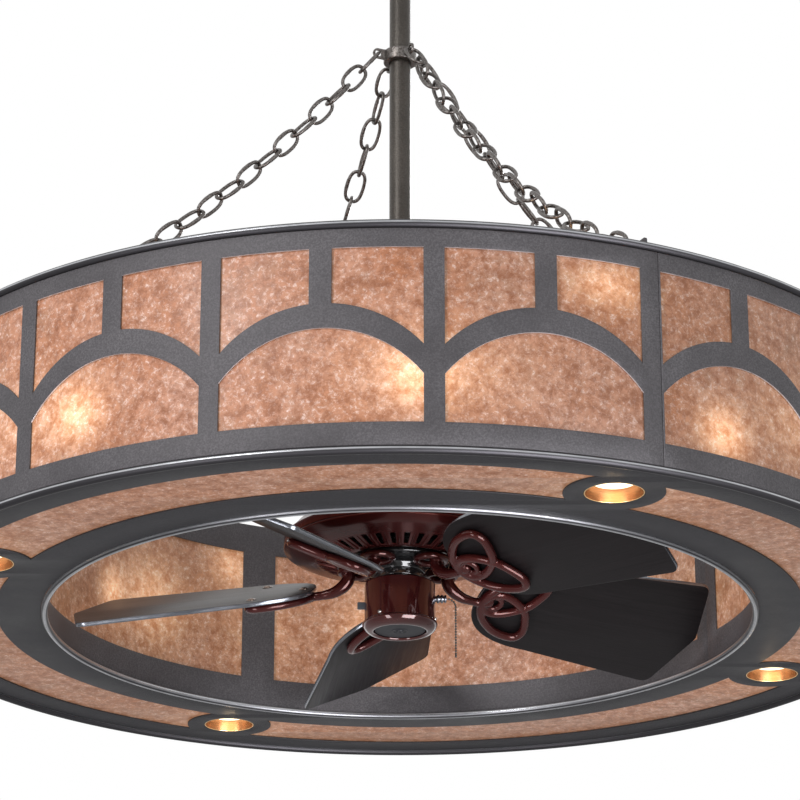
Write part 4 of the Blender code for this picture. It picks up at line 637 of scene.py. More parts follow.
def sweep(shape, points, radius, sides, closed=False):
    """Adds a round tube along points. The radius may be a list, one for each point."""
    points = [Vector(p) for p in points]
    count = len(points)
    radii = radius if isinstance(radius, list) else [radius] * count
    rings = []
    normal = None
    for i, point in enumerate(points):
        before = points[i - 1] if closed or i else points[0]
        after = points[(i + 1) % count] if closed or i < count - 1 else points[-1]
        along = (after - before).normalized()
        if normal is None:
            normal = along.orthogonal().normalized()
        normal = (normal - along * normal.dot(along)).normalized()
        side = along.cross(normal)
        turns = [tau * k / sides for k in range(sides)]
        rings.append([shape.verts.new(point + (normal * cos(a) + side * sin(a)) * radii[i]) for a in turns])
    shift = 0
    if closed:
        start = rings[0][0].co
        shift = min(range(sides), key=lambda k: (rings[-1][k].co - start).length)
    for i in range(count if closed else count - 1):
        a, b = rings[i], rings[(i + 1) % count]
        turn = shift if closed and i == count - 1 else 0
        for k in range(sides):
            shape.faces.new((a[(k + turn) % sides], a[(k + turn + 1) % sides], b[(k + 1) % sides], b[k]))
    if not closed:
        shape.faces.new(list(reversed(rings[0])))
        shape.faces.new(rings[-1])


def chain_point(share):
    a, b = Vector(EAR_PLACE), Vector(LUG_PLACE)
    point = a.lerp(b, share)
    point.y -= CHAIN_SAG * 4 * share * (1 - share)
    return point


def lengths_along(line):
    """How far each point of a line lies along it."""
    reach = [0.0]
    for a, b in zip(line, line[1:]):
        reach.append(reach[-1] + (b - a).length)
    return reach


def point_along(line, reach, distance):
    i = next((j for j in range(1, len(line)) if reach[j] >= distance - 1e-9), len(line) - 1)
    return line[i - 1].lerp(line[i], min((distance - reach[i - 1]) / (reach[i] - reach[i - 1]), 1))


def oval(middle, along, across, half_length, half_width):
    """A link's centre line: two round noses and two slightly bowed sides."""
    points = []
    for i in range(LINK_STEPS):
        a = tau * i / LINK_STEPS
        c, s = cos(a), sin(a)
        nose = along * copysign(abs(c) ** 0.8, c) * half_length
        points.append(middle + nose + across * copysign(abs(s) ** 0.72, s) * half_width)
    return points


fine = [chain_point(i / 600) for i in range(601)]
reach = lengths_along(fine)
stations = [point_along(fine, reach, reach[-1] * k / CHAIN_LINKS) for k in range(CHAIN_LINKS + 1)]
link_radii = [CHAIN_WIRE * (WELD_BULGE if i in WELD_STEPS else 1.0) for i in range(LINK_STEPS)]
for number, turn in enumerate(quarters()):
    draw = random.Random(40 + number)
    out = around(turn, 1, 0)
    side = Vector((-out.y, out.x, 0))
    shape = bmesh.new()
    for k in range(CHAIN_LINKS):
        a, b = stations[k], stations[k + 1]
        start = out * a.x + Vector((0, 0, up(a.y)))
        end = out * b.x + Vector((0, 0, up(b.y)))
        along = (end - start).normalized()
        start -= along * (-EYE_SLACK if k == 0 else LINK_REACH)
        end += along * (-EYE_SLACK if k == CHAIN_LINKS - 1 else LINK_REACH)
        lean = sin(pi * k / (CHAIN_LINKS - 1))
        twist = radians(90) * (k % 2) + lean * radians(CHAIN_LEANS[number] + draw.uniform(-7, 7))
        across = Matrix.Rotation(twist, 3, along) @ side
        line = oval((start + end) / 2, along, across, (end - start).length / 2, CHAIN_WIDTH / 2 - CHAIN_WIRE)
        sweep(shape, line, link_radii, 10, True)
    piece(f"oval_chain_{number + 1}", mesh_of(shape), CHAIN, HANGING, [f"chain_{number + 1}"], 60)

# Downrod and collar: three-quarter inch pipe, and a clamped ring with a welded ear for each
# chain, held by a set screw.
ROD, ROD_WALL = 0.01335, 0.0028
COLLAR, COLLAR_HALF, COLLAR_EDGE = 0.021, 0.008, 0.0018
EAR_ROOT, EAR_RADIUS, EAR_HOLE = 0.018, 0.007, 0.0043
EAR_THICKNESS, EAR_EDGE = 0.003, 0.0005
WELD_BEAD, WELD_OFF = ((0.0205, 0.0017), (0.0225, 0.0014), (0.0245, 0.0009)), 0.0062
SET_SCREW_ENDS, SET_SCREW_RADIUS, SET_SCREW_HEAD = (0.0138, 0.0205), 0.0024, 0.0213
ear_middle, collar_height = EAR_PLACE


def add_lathe(shape, profile, steps, place=Matrix.Identity(4)):
    add_mesh(shape, lathe(profile, steps), place)


def steel_look(name, colour=(0.55, 0.54, 0.52), roughness=0.28):
    """Zinc-plated or nickel-plated steel with faint scratches."""
    dark = tuple(c * 0.7 for c in colour)
    look = grained(name, (1, 5, 0.7), dark, colour, (0.3, 0.7), (0.00004, 0.5), (260, 260, 2200), metallic=1.0)
    look.set("Roughness", look.spread(look.grain, 0.3, 0.7, roughness - 0.08, roughness + 0.12))
    return look.material


ROD_BRONZE = bronze_look("bronze_rod", (0.110, 0.098, 0.086), (0.042, 0.037, 0.032), 0.34, 0.5)
STEEL = steel_look("plated_steel")
rod_low, rod_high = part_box("downrod")
bore = ROD - ROD_WALL
rod_profile = rounded([(ROD, rod_high.z), (ROD, rod_low.z), (bore, rod_low.z), (bore, rod_high.z)], 0.0006, 3, True)
piece("pipe", lathe(rod_profile, 64), ROD_BRONZE, HANGING, ["downrod"])
shape = bmesh.new()
collar = (ROD + 0.0003, COLLAR, collar_height - COLLAR_HALF, collar_height + COLLAR_HALF, COLLAR_EDGE, 4)
add_lathe(shape, band(*collar), 64)
ear_end = ring_points(EAR_RADIUS, 14, (ear_middle, 0), -pi / 2, pi / 2)
ear_edge = [(EAR_ROOT, -EAR_RADIUS)] + ear_end + [(EAR_ROOT, EAR_RADIUS)]
for turn in quarters():
    ear = flat_sheet([ear_edge, ring_points(EAR_HOLE, 20, (ear_middle, 0))], EAR_THICKNESS, EAR_EDGE)
    add_mesh(shape, mesh_of(ear), upright(turn, up(collar_height)))
    for side in (-1, 1):
        bead = [around(turn, r, up(collar_height) + side * WELD_OFF) for r, _ in WELD_BEAD]
        sweep(shape, bead, [thick for _, thick in WELD_BEAD], 8)
piece("chain_collar_ring", mesh_of(shape), CHAIN, HANGING, ["chain_collar"])
screw_turn = FIRST_QUARTER + QUARTER / 2


def soft_box(middle, size, edge, segments):
    """A box with softened edges."""
    shape = bmesh.new()
    bmesh.ops.create_cube(shape, size=1, matrix=Matrix.Translation(middle) @ Matrix.Diagonal((*size, 1)))
    bmesh.ops.bevel(shape, geom=shape.edges[:], offset=edge, segments=segments, affect="EDGES")
    return shape


def screw_head(shape, place, radius, height, crossed=True):
    """Adds a domed screw head with its flat base at the origin of place, facing its +Z."""
    angles = [pi / 2 * i / 6 for i in range(1, 7)]
    dome = [(0, height)] + [(radius * sin(a), height * cos(a) ** 0.8) for a in angles]
    dome += [(radius, -height * 0.2), (0, -height * 0.2)]
    add_lathe(shape, dome, 20, place)
    for turn in (0, pi / 2) if crossed else ():
        bar = mesh_of(soft_box((0, 0, 0), (radius * 1.1, radius * 0.2, height * 0.16), radius * 0.04, 1))
        add_mesh(shape, bar, place @ Matrix.Translation((0, 0, height * 0.94)) @ Matrix.Rotation(turn, 4, "Z"))


def facing_out(turn, radius, z):
    """Turns +Z outwards from the axis, at an angle, a radius and a place along Z."""
    outwards = Vector((0, 0, 1)).rotation_difference(around(turn, 1, 0)).to_matrix().to_4x4()
    return Matrix.Translation(around(turn, radius, z)) @ outwards


shape = bmesh.new()
sweep(shape, [around(screw_turn, r, up(collar_height)) for r in SET_SCREW_ENDS], SET_SCREW_RADIUS, 16)
head = rounded([(0, 0.0035), (0.0025, 0.0035), (0.0025, 0), (0, 0)], 0.0005, 3)
add_lathe(shape, head, 20, facing_out(screw_turn, SET_SCREW_HEAD, up(collar_height)))
piece("collar_screw", mesh_of(shape), STEEL, HANGING, ["set_screw"])

# Ceiling end: a spun bell over the bracket, the ball that the rod hangs by, and its pin. The
# bracket, ball and pin are plain shapes, so the CAD solids stay and take a finish.
CEILING = "ceiling_mount"
BELL = [
    (0.0698, -0.0005), (0.0698, -0.012), (0.0688, -0.026), (0.0655, -0.040), (0.0585, -0.054), (0.0475, -0.066),
    (0.0385, -0.0735), (0.030, -0.0777),
]
bell_inner = [(r - 0.0012, min(z + 0.0006, -0.0004)) for r, z in reversed(BELL)]
piece("bell_canopy", lathe(rounded(BELL, 0.004, 4) + bell_inner, 96), ROD_BRONZE, CEILING, ["canopy"])

BLACK = grained(
    "black_paint", (160, 3, 0.5), (0.012, 0.012, 0.013), (0.03, 0.03, 0.032), bump=(0.0003, 0.25),
    roughness=0.14, Coat_Weight=0.6, Coat_Roughness=0.06,
).material
SHARP_ANGLE = radians(40)


def finish_node(name, look, bevel):
    """A CAD node that stays gets a worked finish and softened edges."""
    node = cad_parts[name]
    node.data.materials.clear()
    node.data.materials.append(look)
    node.data.shade_smooth()
    node.data.set_sharp_from_angle(angle=SHARP_ANGLE)
    edge = node.modifiers.new("edges", "BEVEL")
    edge.width = bevel
    edge.segments = 2
    edge.limit_method = "ANGLE"
    edge.angle_limit = SHARP_ANGLE


for name in ("ceiling_bracket", "ball_pin", "motor_shaft", "upper_bearing", "lower_bearing", "coupling_bolt"):
    finish_node(name, STEEL, 0.0002)
for name in ("hanger_ball", "motor_coupling", "rotor_shell"):
    finish_node(name, BLACK, 0.0003)

# Lamp ring: a wire raceway rolled round the inner wall, with a porcelain socket and a frosted
# bulb pointing outwards at each station.
RACEWAY_INNER, RACEWAY_OUTER = 0.4313, 0.4468
RACEWAY_HALF = 0.008
SOCKET_REACH, BULB_REACH = 0.447, 0.496
SOCKET = [
    (0, -0.004), (0.0118, -0.004), (0.0118, 0.004), (0.0105, 0.0052), (0.0105, 0.014), (0.0125, 0.0155),
    (0.0125, 0.029), (0.0108, 0.030), (0, 0.030),
]
bulb_turns = [BULB_START + k * tau / BULBS for k in range(BULBS)]
shape = bmesh.new()
raceway = band(RACEWAY_INNER, RACEWAY_OUTER, LAMP_HEIGHT - RACEWAY_HALF, LAMP_HEIGHT + RACEWAY_HALF, 0.0015, 3)
add_lathe(shape, raceway, 192)
for turn in bulb_turns:
    add_lathe(shape, rounded(SOCKET, 0.0007, 2), 28, facing_out(turn, SOCKET_REACH, up(LAMP_HEIGHT)))
piece("lamp_raceway", mesh_of(shape), BRONZE, HANGING, ["lamp_ring"])

bulb_look = grained("lit_bulb", (90, 3), (0.9, 0.8, 0.62), (1.0, 0.9, 0.74), roughness=0.35)
bulb_look.glow(bulb_look.mix(bulb_look.grain, (1.0, 0.72, 0.40), (1.0, 0.82, 0.55)), 3.2)
BULB_PROFILE = [
    (0, 0.0205), (0.008, 0.0192), (0.0148, 0.0148), (0.0190, 0.0085), (0.0205, 0.0), (0.0195, -0.0075),
    (0.0165, -0.0135), (0.0128, -0.0180), (0.0108, -0.0205), (0, -0.0205),
]
shape = bmesh.new()
for turn in bulb_turns:
    add_lathe(shape, rounded(BULB_PROFILE, 0.004, 3), 32, facing_out(turn, BULB_REACH, up(LAMP_HEIGHT)))
piece("frosted_bulbs", mesh_of(shape), bulb_look.material, HANGING)

# Downlights: spun copper-coloured cans let into the floor's pads, each with a reflector lamp
# whose lit face is set back behind the rim.
can_look = grained(
    "copper_can", (1, 3, 0.6), (0.20, 0.095, 0.045), (0.40, 0.21, 0.105), bump=(0.0001, 0.5), stretch=(30, 30, 1400),
    roughness=0.26, metallic=0.85,
)
# Painted glow: the can glows faintly, standing in for its lamp's light on it.
can_look.glow((1.0, 0.62, 0.26), 0.03)
lip_look = grained("brass_lip", (300, 3), (0.62, 0.42, 0.20), (0.85, 0.64, 0.36), roughness=0.25, metallic=0.9)
# Painted glow: the brass lip glows, standing in for its lamp's light on it.
lip_look.glow((1.0, 0.72, 0.36), 0.12)
face_look = Look("lit_lamp_face", 0.3)
face_parts = face_look.add("ShaderNodeTexVoronoi", {"Vector": face_look.place, "Scale": 260.0})
face_look.paint(face_parts.outputs["Distance"], (1, 0.92, 0.8), (0.9, 0.78, 0.6))
face_look.glow((1.0, 0.86, 0.62), 1.9)
LIP_TOP = 0.0011
# Each lamp's two lights: name, height above the floor's underside, power and radius.
LAMP_LIGHTS = (("downlight_glow", 0.004, 0.04, 0.012), ("upward_glow", 0.11, 1.2, 0.03))
CAN_PROFILE = [
    (0.0326, 0.075), (0.0326, 0.0038), (0.0388, 0.0038), (0.0388, 0.0024), (0.0326, 0.0024), (0.0324, 0.0002),
    (0.0313, 0.0002), (0.0313, 0.0738), (0.0125, 0.0738), (0.0125, 0.075),
]
LAMP_PROFILE = [
    (0, 0.0122), (0.0215, 0.0122), (0.0248, 0.0135), (0.0248, 0.0172), (0.0200, 0.030), (0.0128, 0.047),
    (0.0128, 0.0734), (0, 0.0734),
]
for number, turn in enumerate(quarters()):
    middle = around(turn, LIGHT_CIRCLE, -DRUM_DROP)
    can = lathe(rounded(CAN_PROFILE, 0.0005, 2, True), 64)
    for face in can.polygons:
        face.material_index = int(face.center.z < LIP_TOP)
    can.transform(Matrix.Translation(middle))
    looks = [can_look.material, lip_look.material]
    piece(f"spun_can_{number + 1}", can, looks, HANGING, [f"downlight_can_{number + 1}"])
    lamp_mesh = lathe(rounded(LAMP_PROFILE, 0.001, 3), 64)
    lamp_mesh.transform(Matrix.Translation(middle))
    name, replaced = f"reflector_lamp_{number + 1}", [f"downlight_lamp_{number + 1}"]
    lamp = piece(name, lamp_mesh, face_look.material, HANGING, replaced)
    for name, height, power, radius in LAMP_LIGHTS:
        lamp_light(f"{name}_{number + 1}", middle + Vector((0, 0, height)), power, radius, lamp)

# Motor housing: two spun steel shells in mahogany lacquer. The lower bowl has a ring of
# radial cooling slots round its mouth, with a pressed bead inside and outside them.


def lacquer_look(name, coat):
    """Deep red-brown lacquer under a clear gloss coat."""
    look = Look(name, Specular_IOR_Level=0.3, Specular_Tint=(1.0, 0.30, 0.24), Coat_Weight=coat, Coat_Roughness=0.06)
    cloud = look.noise(9, 3, 0.5)
    look.paint(cloud, (0.034, 0.0056, 0.0060), (0.068, 0.0120, 0.0115), 0.3, 0.7)
    look.set("Roughness", look.spread(cloud, 0.3, 0.7, 0.17, 0.24))
    look.bump(look.noise(35, 2, 0.4), 0.0002, 0.08)
    return look.material


def raised(points):
    """Profile points at their place in the frame."""
    return [(r, up(z), *rest) for r, z, *rest in points]


RED = lacquer_look("mahogany_lacquer", 0.08)
CAST_RED = lacquer_look("cast_lacquer", 0.4)
CUP_RED = lacquer_look("cup_lacquer", 0.95)

TOP_SHELL = [
    (0.0205, 0.1489), (0.058, 0.1489), (0.064, 0.1482), (0.085, 0.1430), (0.108, 0.1320, 0.01),
    (0.125, 0.1180, 0.008), (0.134, 0.1075, 0.004), (0.1372, 0.1045, 0.001), (0.1397, 0.1035, 0.0015),
    (0.1397, 0.0935, 0.0008), (0.1385, 0.0935, 0.0004), (0.1385, 0.1025, 0.001), (0.1330, 0.1060, 0.004),
    (0.124, 0.1168, 0.008), (0.107, 0.1308, 0.01), (0.084, 0.1417), (0.063, 0.1470), (0.0205, 0.1476),
]
top_shell = lathe(rounded(raised(TOP_SHELL), 0.0015, 4, True), 144)
piece("top_shell", top_shell, RED, HANGING, ["upper_housing"])

BOWL = [
    (0.1397, 0.0928, 0.0006), (0.1397, 0.0905, 0.003), (0.1280, 0.0848, 0.005), (0.1055, 0.0804, 0.003),
    (0.1040, 0.0800, 0.001), (0.0762, 0.0726, 0.002), (0.0722, 0.0723, 0.0008), (0.0708, 0.0723, 0.0008),
    (0.0692, 0.0726, 0.0005), (0.0692, 0.0738, 0.0004), (0.0760, 0.0739, 0.001), (0.1040, 0.0813, 0.002),
    (0.1280, 0.0861, 0.004), (0.1385, 0.0912, 0.001), (0.1385, 0.0928, 0.0004),
]
bowl_mesh = lathe(rounded(raised(BOWL), 0.001, 3, True), 144)
bowl = piece("vented_bowl", bowl_mesh, RED, HANGING, ["vented_housing"])
VENTS = 36
CONE_SLOPE = 0.2644
SLOT_MIDDLE, SLOT_HEIGHT, SLOT_DEPTH = 0.0895, 0.0767, 0.006
SLOT_INNER, SLOT_INNER_HALF = 0.0798, 0.0023
SLOT_OUTER, SLOT_OUTER_HALF = 0.0978, 0.0034
RIB_START, RIB_HEIGHT = 0.0755, 0.0724
RIB = (
    (0.0767, 0.0006), (0.0773, 0.0015), (0.0790, 0.0019), (0.0815, 0.0017), (0.0880, 0.0014), (0.0960, 0.0011),
    (0.1015, 0.0004),
)
slot = ring_points(SLOT_OUTER_HALF, 8, (SLOT_OUTER, 0), -pi / 2, pi / 2)
slot += ring_points(SLOT_INNER_HALF, 6, (SLOT_INNER, 0), pi / 2, pi * 3 / 2)
lean = Matrix.Translation((SLOT_MIDDLE, 0, up(SLOT_HEIGHT))) @ Matrix.Rotation(-atan(CONE_SLOPE), 4, "Y")
shape = bmesh.new()
for k in range(VENTS):
    place = Matrix.Rotation(tau * (k + 0.5) / VENTS, 4, "Z") @ lean @ Matrix.Translation((-SLOT_MIDDLE, 0, 0))
    add_mesh(shape, mesh_of(flat_sheet([slot], SLOT_DEPTH, 0.0002)), place)
slots = put("slot_cutter", mesh_of(shape))
cut = bowl.modifiers.new("slots", "BOOLEAN")
cut.operation = "DIFFERENCE"
cut.solver = "EXACT"
cut.object = slots
cut_mesh = evaluated(bowl)
bowl.modifiers.clear()
bowl.data = cut_mesh
bpy.data.objects.remove(slots)
shape = bmesh.new()
for k in range(VENTS):
    turn = tau * k / VENTS
    rib = [around(turn, r, up(RIB_HEIGHT + (r - RIB_START) * CONE_SLOPE)) for r, _ in RIB]
    sweep(shape, rib, [thick for _, thick in RIB], 10)
piece("vent_ribs", mesh_of(shape), RED, HANGING)

# Coupling cover: a small bell spun from the same steel sheet and lacquered like the housing. It
# slides down the rod and hides the joint between the rod and the motor.
COVER = [(0.0138, 0.2148), (0.0205, 0.2105), (0.0300, 0.1975), (0.0365, 0.1810), (0.0392, 0.1650), (0.0398, 0.1500)]
cover_inner = [(r - 0.0011, up(z) - 0.0002) for r, z in reversed(COVER)]
cover_outer = rounded(raised(COVER), 0.005, 5)
piece("bell_cover", lathe(cover_outer + cover_inner, 72), RED, HANGING, ["coupling_cover"])

# Stator and flywheel: laminations with copper windings, seen only through the slots, and the
# black cast flywheel that the blade irons hang from.
# Painted light: the windings' colour is made lighter to stand in for light inside the closed housing.
WINDINGS_PAINTED_LIGHT = grained(
    "windings", (1, 3, 0.6), (0.20, 0.25, 0.24), (0.46, 0.52, 0.50), bump=(0.0004, 0.6), stretch=(60, 60, 2600),
    roughness=0.4, metallic=0.7,
).material
finish_node("stator", WINDINGS_PAINTED_LIGHT, 0.0004)

FLYWHEEL = [
    (0.0299, 0.0856, 0.0004), (0.0299, 0.0762, 0.001), (0.0570, 0.0762, 0.001), (0.0598, 0.0752, 0.001),
    (0.0598, 0.0712, 0.001), (0.0570, 0.0703, 0.001), (0.0360, 0.0703, 0.002), (0.0312, 0.0670, 0.002),
    (0.0299, 0.0610, 0.002), (0.0285, 0.0600, 0.0006), (0.0299, 0.0590, 0.0006), (0.0299, 0.0520, 0.0015),
    (0.0275, 0.0506, 0.001), (0.0089, 0.0506, 0.0004), (0.0089, 0.0856, 0.0004),
]
HUB_SCREWS, HUB_SCREW_REACH, HUB_SCREW_HEIGHT = 10, 0.0298, 0.0565
ROTOR = "rotor"
shape = bmesh.new()
add_lathe(shape, rounded(raised(FLYWHEEL), 0.001, 3, True), 72)
for k in range(HUB_SCREWS):
    turn = FIRST_POST + k * tau / HUB_SCREWS
    screw_head(shape, facing_out(turn, HUB_SCREW_REACH, up(HUB_SCREW_HEIGHT)), 0.0022, 0.0008, False)
piece("flywheel_hub", mesh_of(shape), BLACK, ROTOR, ["flywheel"])

# Blades: 5.5 mm board, veneered charcoal below and weathered grey-brown above, with rounded
# roots, blunt points and softened edges. Three screws hold each to its iron.
BLADES = 5
FIRST_BLADE = radians(168.8)
BLADE_PITCH, BLADE_DROOP = radians(26), radians(2.7)
BLADE_HEIGHT, BLADE_THICK = 0.0515, 0.0055
ROOT, SHOULDER, CORNER, TIP = 0.105, 0.200, 0.380, 0.4058
SHOULDER_HALF, CORNER_HALF = 0.074, 0.0903
SCREWS = ((0.118, 0.0), (0.173, -0.050), (0.173, 0.050))


def blade_frame(number):
    turn = FIRST_BLADE + number * tau / BLADES
    tilt = Matrix.Rotation(turn, 4, "Z") @ Matrix.Rotation(BLADE_DROOP, 4, "Y") @ Matrix.Rotation(-BLADE_PITCH, 4, "X")
    return Matrix.Translation((0, 0, up(BLADE_HEIGHT))) @ tilt


def wood_look(name, dark, light, roughness, specular=0.4, metallic=0.0):
    """Veneer with fine grain along the blade, from the root to the tip."""
    look = Look(name, metallic=metallic, Specular_IOR_Level=specular)
    grain = look.noise(1, 6, 0.65, 1.2, look.stretched((7, 190, 190)))
    pores = look.noise(1, 3, 0.6, 0.0, look.stretched((60, 1500, 1500)))
    share = look.math("MULTIPLY", look.spread(grain, 0.32, 0.68), look.spread(pores, 0.3, 0.6, 0.4, 1))
    look.paint(share, dark, light)
    look.set("Roughness", look.spread(grain, 0.3, 0.7, roughness - 0.06, roughness + 0.08))
    look.bump(look.math("ADD", grain, look.math("MULTIPLY", pores, 0.4)), 0.00025, 0.5)
    return look.material


BLADE_UNDER = wood_look("blade_charcoal", (0.0095, 0.0072, 0.0080), (0.0200, 0.0160, 0.0175), 0.44, 0.14)
BLADE_TOP = wood_look("blade_grey_brown", (0.038, 0.033, 0.031), (0.105, 0.092, 0.085), 0.38)
BLADE_EDGE = wood_look("blade_edge", (0.15, 0.16, 0.18), (0.27, 0.28, 0.31), 0.2, 0.5, 0.7)

half = []
for i in range(21):
    a = pi / 2 * i / 20
    half.append((ROOT + (SHOULDER - ROOT) * (1 - cos(a)) ** 1.2, SHOULDER_HALF * sin(a) ** 0.9))
half += [(CORNER, CORNER_HALF, 0.012), (TIP, 0)]
outline = half + [(p[0], -p[1], *p[2:]) for p in reversed(half[1:-1])]
outline = rounded([p if len(p) > 2 else (*p, 0.004 if p[0] > CORNER else 0) for p in outline], 0, 6, True)
blade_shape = flat_sheet([outline], BLADE_THICK, 0.0011)
bmesh.ops.recalc_face_normals(blade_shape, faces=blade_shape.faces)
for face in blade_shape.faces:
    face.material_index = 0 if face.normal.z < -0.9 else 1 if face.normal.z > 0.9 else 2
blade_mesh = mesh_of(blade_shape, "blade")
for number in range(BLADES):
    looks = [BLADE_UNDER, BLADE_TOP, BLADE_EDGE]
    blade = piece(f"pitched_blade_{number + 1}", blade_mesh.copy(), looks, ROTOR, [f"blade_{number + 1}"])
    blade.matrix_world = blade_frame(number)
    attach(blade, ROTOR)

# Blade irons: one casting each, a foot loop under the flywheel, a curved arm, and two big
# leaf-shaped loops that cross on the blade's axis round a small ring and a screw boss.
IRON_WIRE = 0.0053
below = -(BLADE_THICK / 2 + 0.0004 + IRON_WIRE * 0.96)


def smooth_line(points, steps, closed=False):
    """A Catmull-Rom line through the points."""
    points = [Vector(p) for p in points]
    count = len(points)
    made = []
    for i in range(count if closed else count - 1):
        if closed:
            a, b, c, d = (points[(i + k) % count] for k in (-1, 0, 1, 2))
        else:
            a, b, c, d = points[max(i - 1, 0)], points[i], points[i + 1], points[min(i + 2, count - 1)]
        for k in range(steps):
            t = k / steps
            square, cube = (2 * a - 5 * b + 4 * c - d) * t**2, (3 * b - a - 3 * c + d) * t**3
            made.append(0.5 * (2 * b + (c - a) * t + square + cube))
    if not closed:
        made.append(points[-1])
    return made


to_blade = Matrix.Rotation(-FIRST_BLADE, 4, "Z") @ blade_frame(0)


def on_blade(points, lift=0.0):
    return [to_blade @ Vector((x, y, below + lift)) for x, y in points]


LOOP = [
    (0.1092, 0.006), (0.119, 0.026), (0.139, 0.043), (0.160, 0.050), (0.1745, 0.0485), (0.180, 0.037), (0.1755, 0.020),
    (0.167, 0.004), (0.150, -0.009), (0.132, -0.016), (0.119, -0.014), (0.111, -0.005),
]
BOSS = [(0, 0.0046), (0.0070, 0.0046), (0.0070, -0.0010), (0.0048, -0.0036), (0, -0.0042)]
BOSS_PLACE = 0.117
ARM = [(0.0640, 0.0560), (0.0708, 0.0478), (0.0815, 0.0418), (0.0930, 0.0394), (0.1040, 0.0384)]
ARM_WIRE, ARM_TAPER = 0.0080, 0.0026
SMALL_RING, SMALL_RING_PLACE, SMALL_RING_WIRE = 0.0100, 0.1235, 0.0037
FOOT_LENGTH, FOOT_WIDTH, FOOT_PLACE, FOOT_WIRE = 0.017, 0.018, 0.055, 0.0045
FLYWHEEL_UNDERSIDE = 0.0703
shape = bmesh.new()
for side in (-1, 1):
    sweep(shape, smooth_line(on_blade([(x, side * y) for x, y in LOOP]), 6, True), IRON_WIRE, 14, True)
small_ring = on_blade(ring_points(SMALL_RING, 24, (SMALL_RING_PLACE, 0)), 0.001)
sweep(shape, small_ring, SMALL_RING_WIRE, 12, True)
add_lathe(shape, rounded(BOSS, 0.0014, 3), 24, to_blade @ Matrix.Translation((BOSS_PLACE, 0, below)))
foot_z = up(FLYWHEEL_UNDERSIDE - 0.0003) - FOOT_WIRE
arm = [(0.0625, 0, foot_z + 0.001)] + [(x, 0, up(z)) for x, z in ARM] + on_blade([(0.118, 0)], 0.0002)
arm = smooth_line(arm, 8)
shares = [i / (len(arm) - 1) for i in range(len(arm))]
sweep(shape, arm, [ARM_WIRE - ARM_TAPER * min(max(share - 0.3, 0) / 0.4, 1) for share in shares], 16)
foot = [(FOOT_PLACE + FOOT_LENGTH * x, FOOT_WIDTH * y, foot_z) for x, y in ring_points(1, 32)]
sweep(shape, foot, FOOT_WIRE, 12, True)
casting = put("casting", mesh_of(shape, "iron"))
blend = casting.modifiers.new("blend", "REMESH")
blend.mode = "VOXEL"
blend.voxel_size = 0.0009
ease = casting.modifiers.new("ease", "SMOOTH")
ease.factor = 0.5
ease.iterations = 4
cast_mesh = evaluated(casting)
bpy.data.objects.remove(casting)
SCREW_BRONZE = steel_look("bronzed_screws", (0.26, 0.20, 0.165), 0.3)
WASHER = rounded([(0.0062, 0.0006), (0.0062, -0.0002), (0.002, -0.0002), (0.002, 0.0006)], 0.0002, 2, True)


def above_blade(number, x, y, lift):
    """A place above a blade's top face, facing away from it."""
    return blade_frame(number) @ Matrix.Translation((x, y, BLADE_THICK / 2 + lift))


for number in range(BLADES):
    name, replaced = f"scrolled_iron_{number + 1}", [f"blade_iron_{number + 1}"]
    iron = piece(name, cast_mesh.copy(), CAST_RED, ROTOR, replaced, 70)
    iron.matrix_world = Matrix.Rotation(FIRST_BLADE + number * tau / BLADES, 4, "Z")
    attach(iron, ROTOR)
    heads = bmesh.new()
    for x, y in SCREWS:
        screw_head(heads, above_blade(number, x, y, 0.0004), 0.0043, 0.0019)
        add_lathe(heads, WASHER, 24, above_blade(number, x, y, 0.0002))
    piece(f"blade_screws_{number + 1}", mesh_of(heads), SCREW_BRONZE, ROTOR)

# Switch housing: a spun cup in the same lacquer with a rolled bead near its foot, held by
# small screws, and closed by a grey cap with a plugged hole.
CUP = [
    (0.0086, 0.0478, 0.0004), (0.0395, 0.0478, 0.002), (0.0424, 0.0466, 0.0025), (0.0424, -0.0004, 0.0006),
    (0.0434, -0.0008, 0.0005), (0.0449, -0.0016, 0.0014), (0.0450, -0.0040, 0.003), (0.0428, -0.0085, 0.004),
    (0.0388, -0.0118, 0.004), (0.0348, -0.0129, 0.0015), (0.0322, -0.0125, 0.001), (0.0311, -0.0104, 0.0005),
    (0.0330, -0.0100, 0.001), (0.0375, -0.0088, 0.003), (0.0412, -0.0060, 0.003), (0.0412, -0.0005, 0.001),
    (0.0412, 0.0460, 0.0015), (0.0086, 0.0466, 0.0003),
]
CUP_SCREWS = (-124.9, -4.9, 115.1)
CUP_SCREW_REACH, CUP_SCREW_HEIGHT = 0.04235, 0.0030
cup = lathe(rounded(raised(CUP), 0.001, 4, True), 96)
piece("switch_cup", cup, CUP_RED, HANGING, ["switch_housing"])
shape = bmesh.new()
for angle in CUP_SCREWS:
    screw_head(shape, facing_out(radians(angle), CUP_SCREW_REACH, up(CUP_SCREW_HEIGHT)), 0.0024, 0.0016)
piece("cup_screws", mesh_of(shape), STEEL, HANGING)

cap_look = grained(
    "slate_cap", (240, 3, 0.6), (0.017, 0.017, 0.021), (0.033, 0.033, 0.039), bump=(0.0002, 0.3),
    Specular_IOR_Level=0.25,
)
CAP = [
    (0, -0.0088), (0.0304, -0.0088, 0.0003), (0.0304, -0.0100, 0.0005), (0.0270, -0.0107, 0.002),
    (0.0100, -0.0107, 0.0005), (0.0088, -0.0114, 0.0005), (0.0076, -0.0107, 0.0005), (0.0048, -0.0107, 0.0004),
    (0.0044, -0.0122, 0.0006), (0.0018, -0.0122, 0.0003), (0.0012, -0.0114, 0.0003), (0, -0.0114),
]
piece("cup_cap", lathe(rounded(raised(CAP), 0.0004, 3), 72), cap_look.material, HANGING, ["switch_cap"])

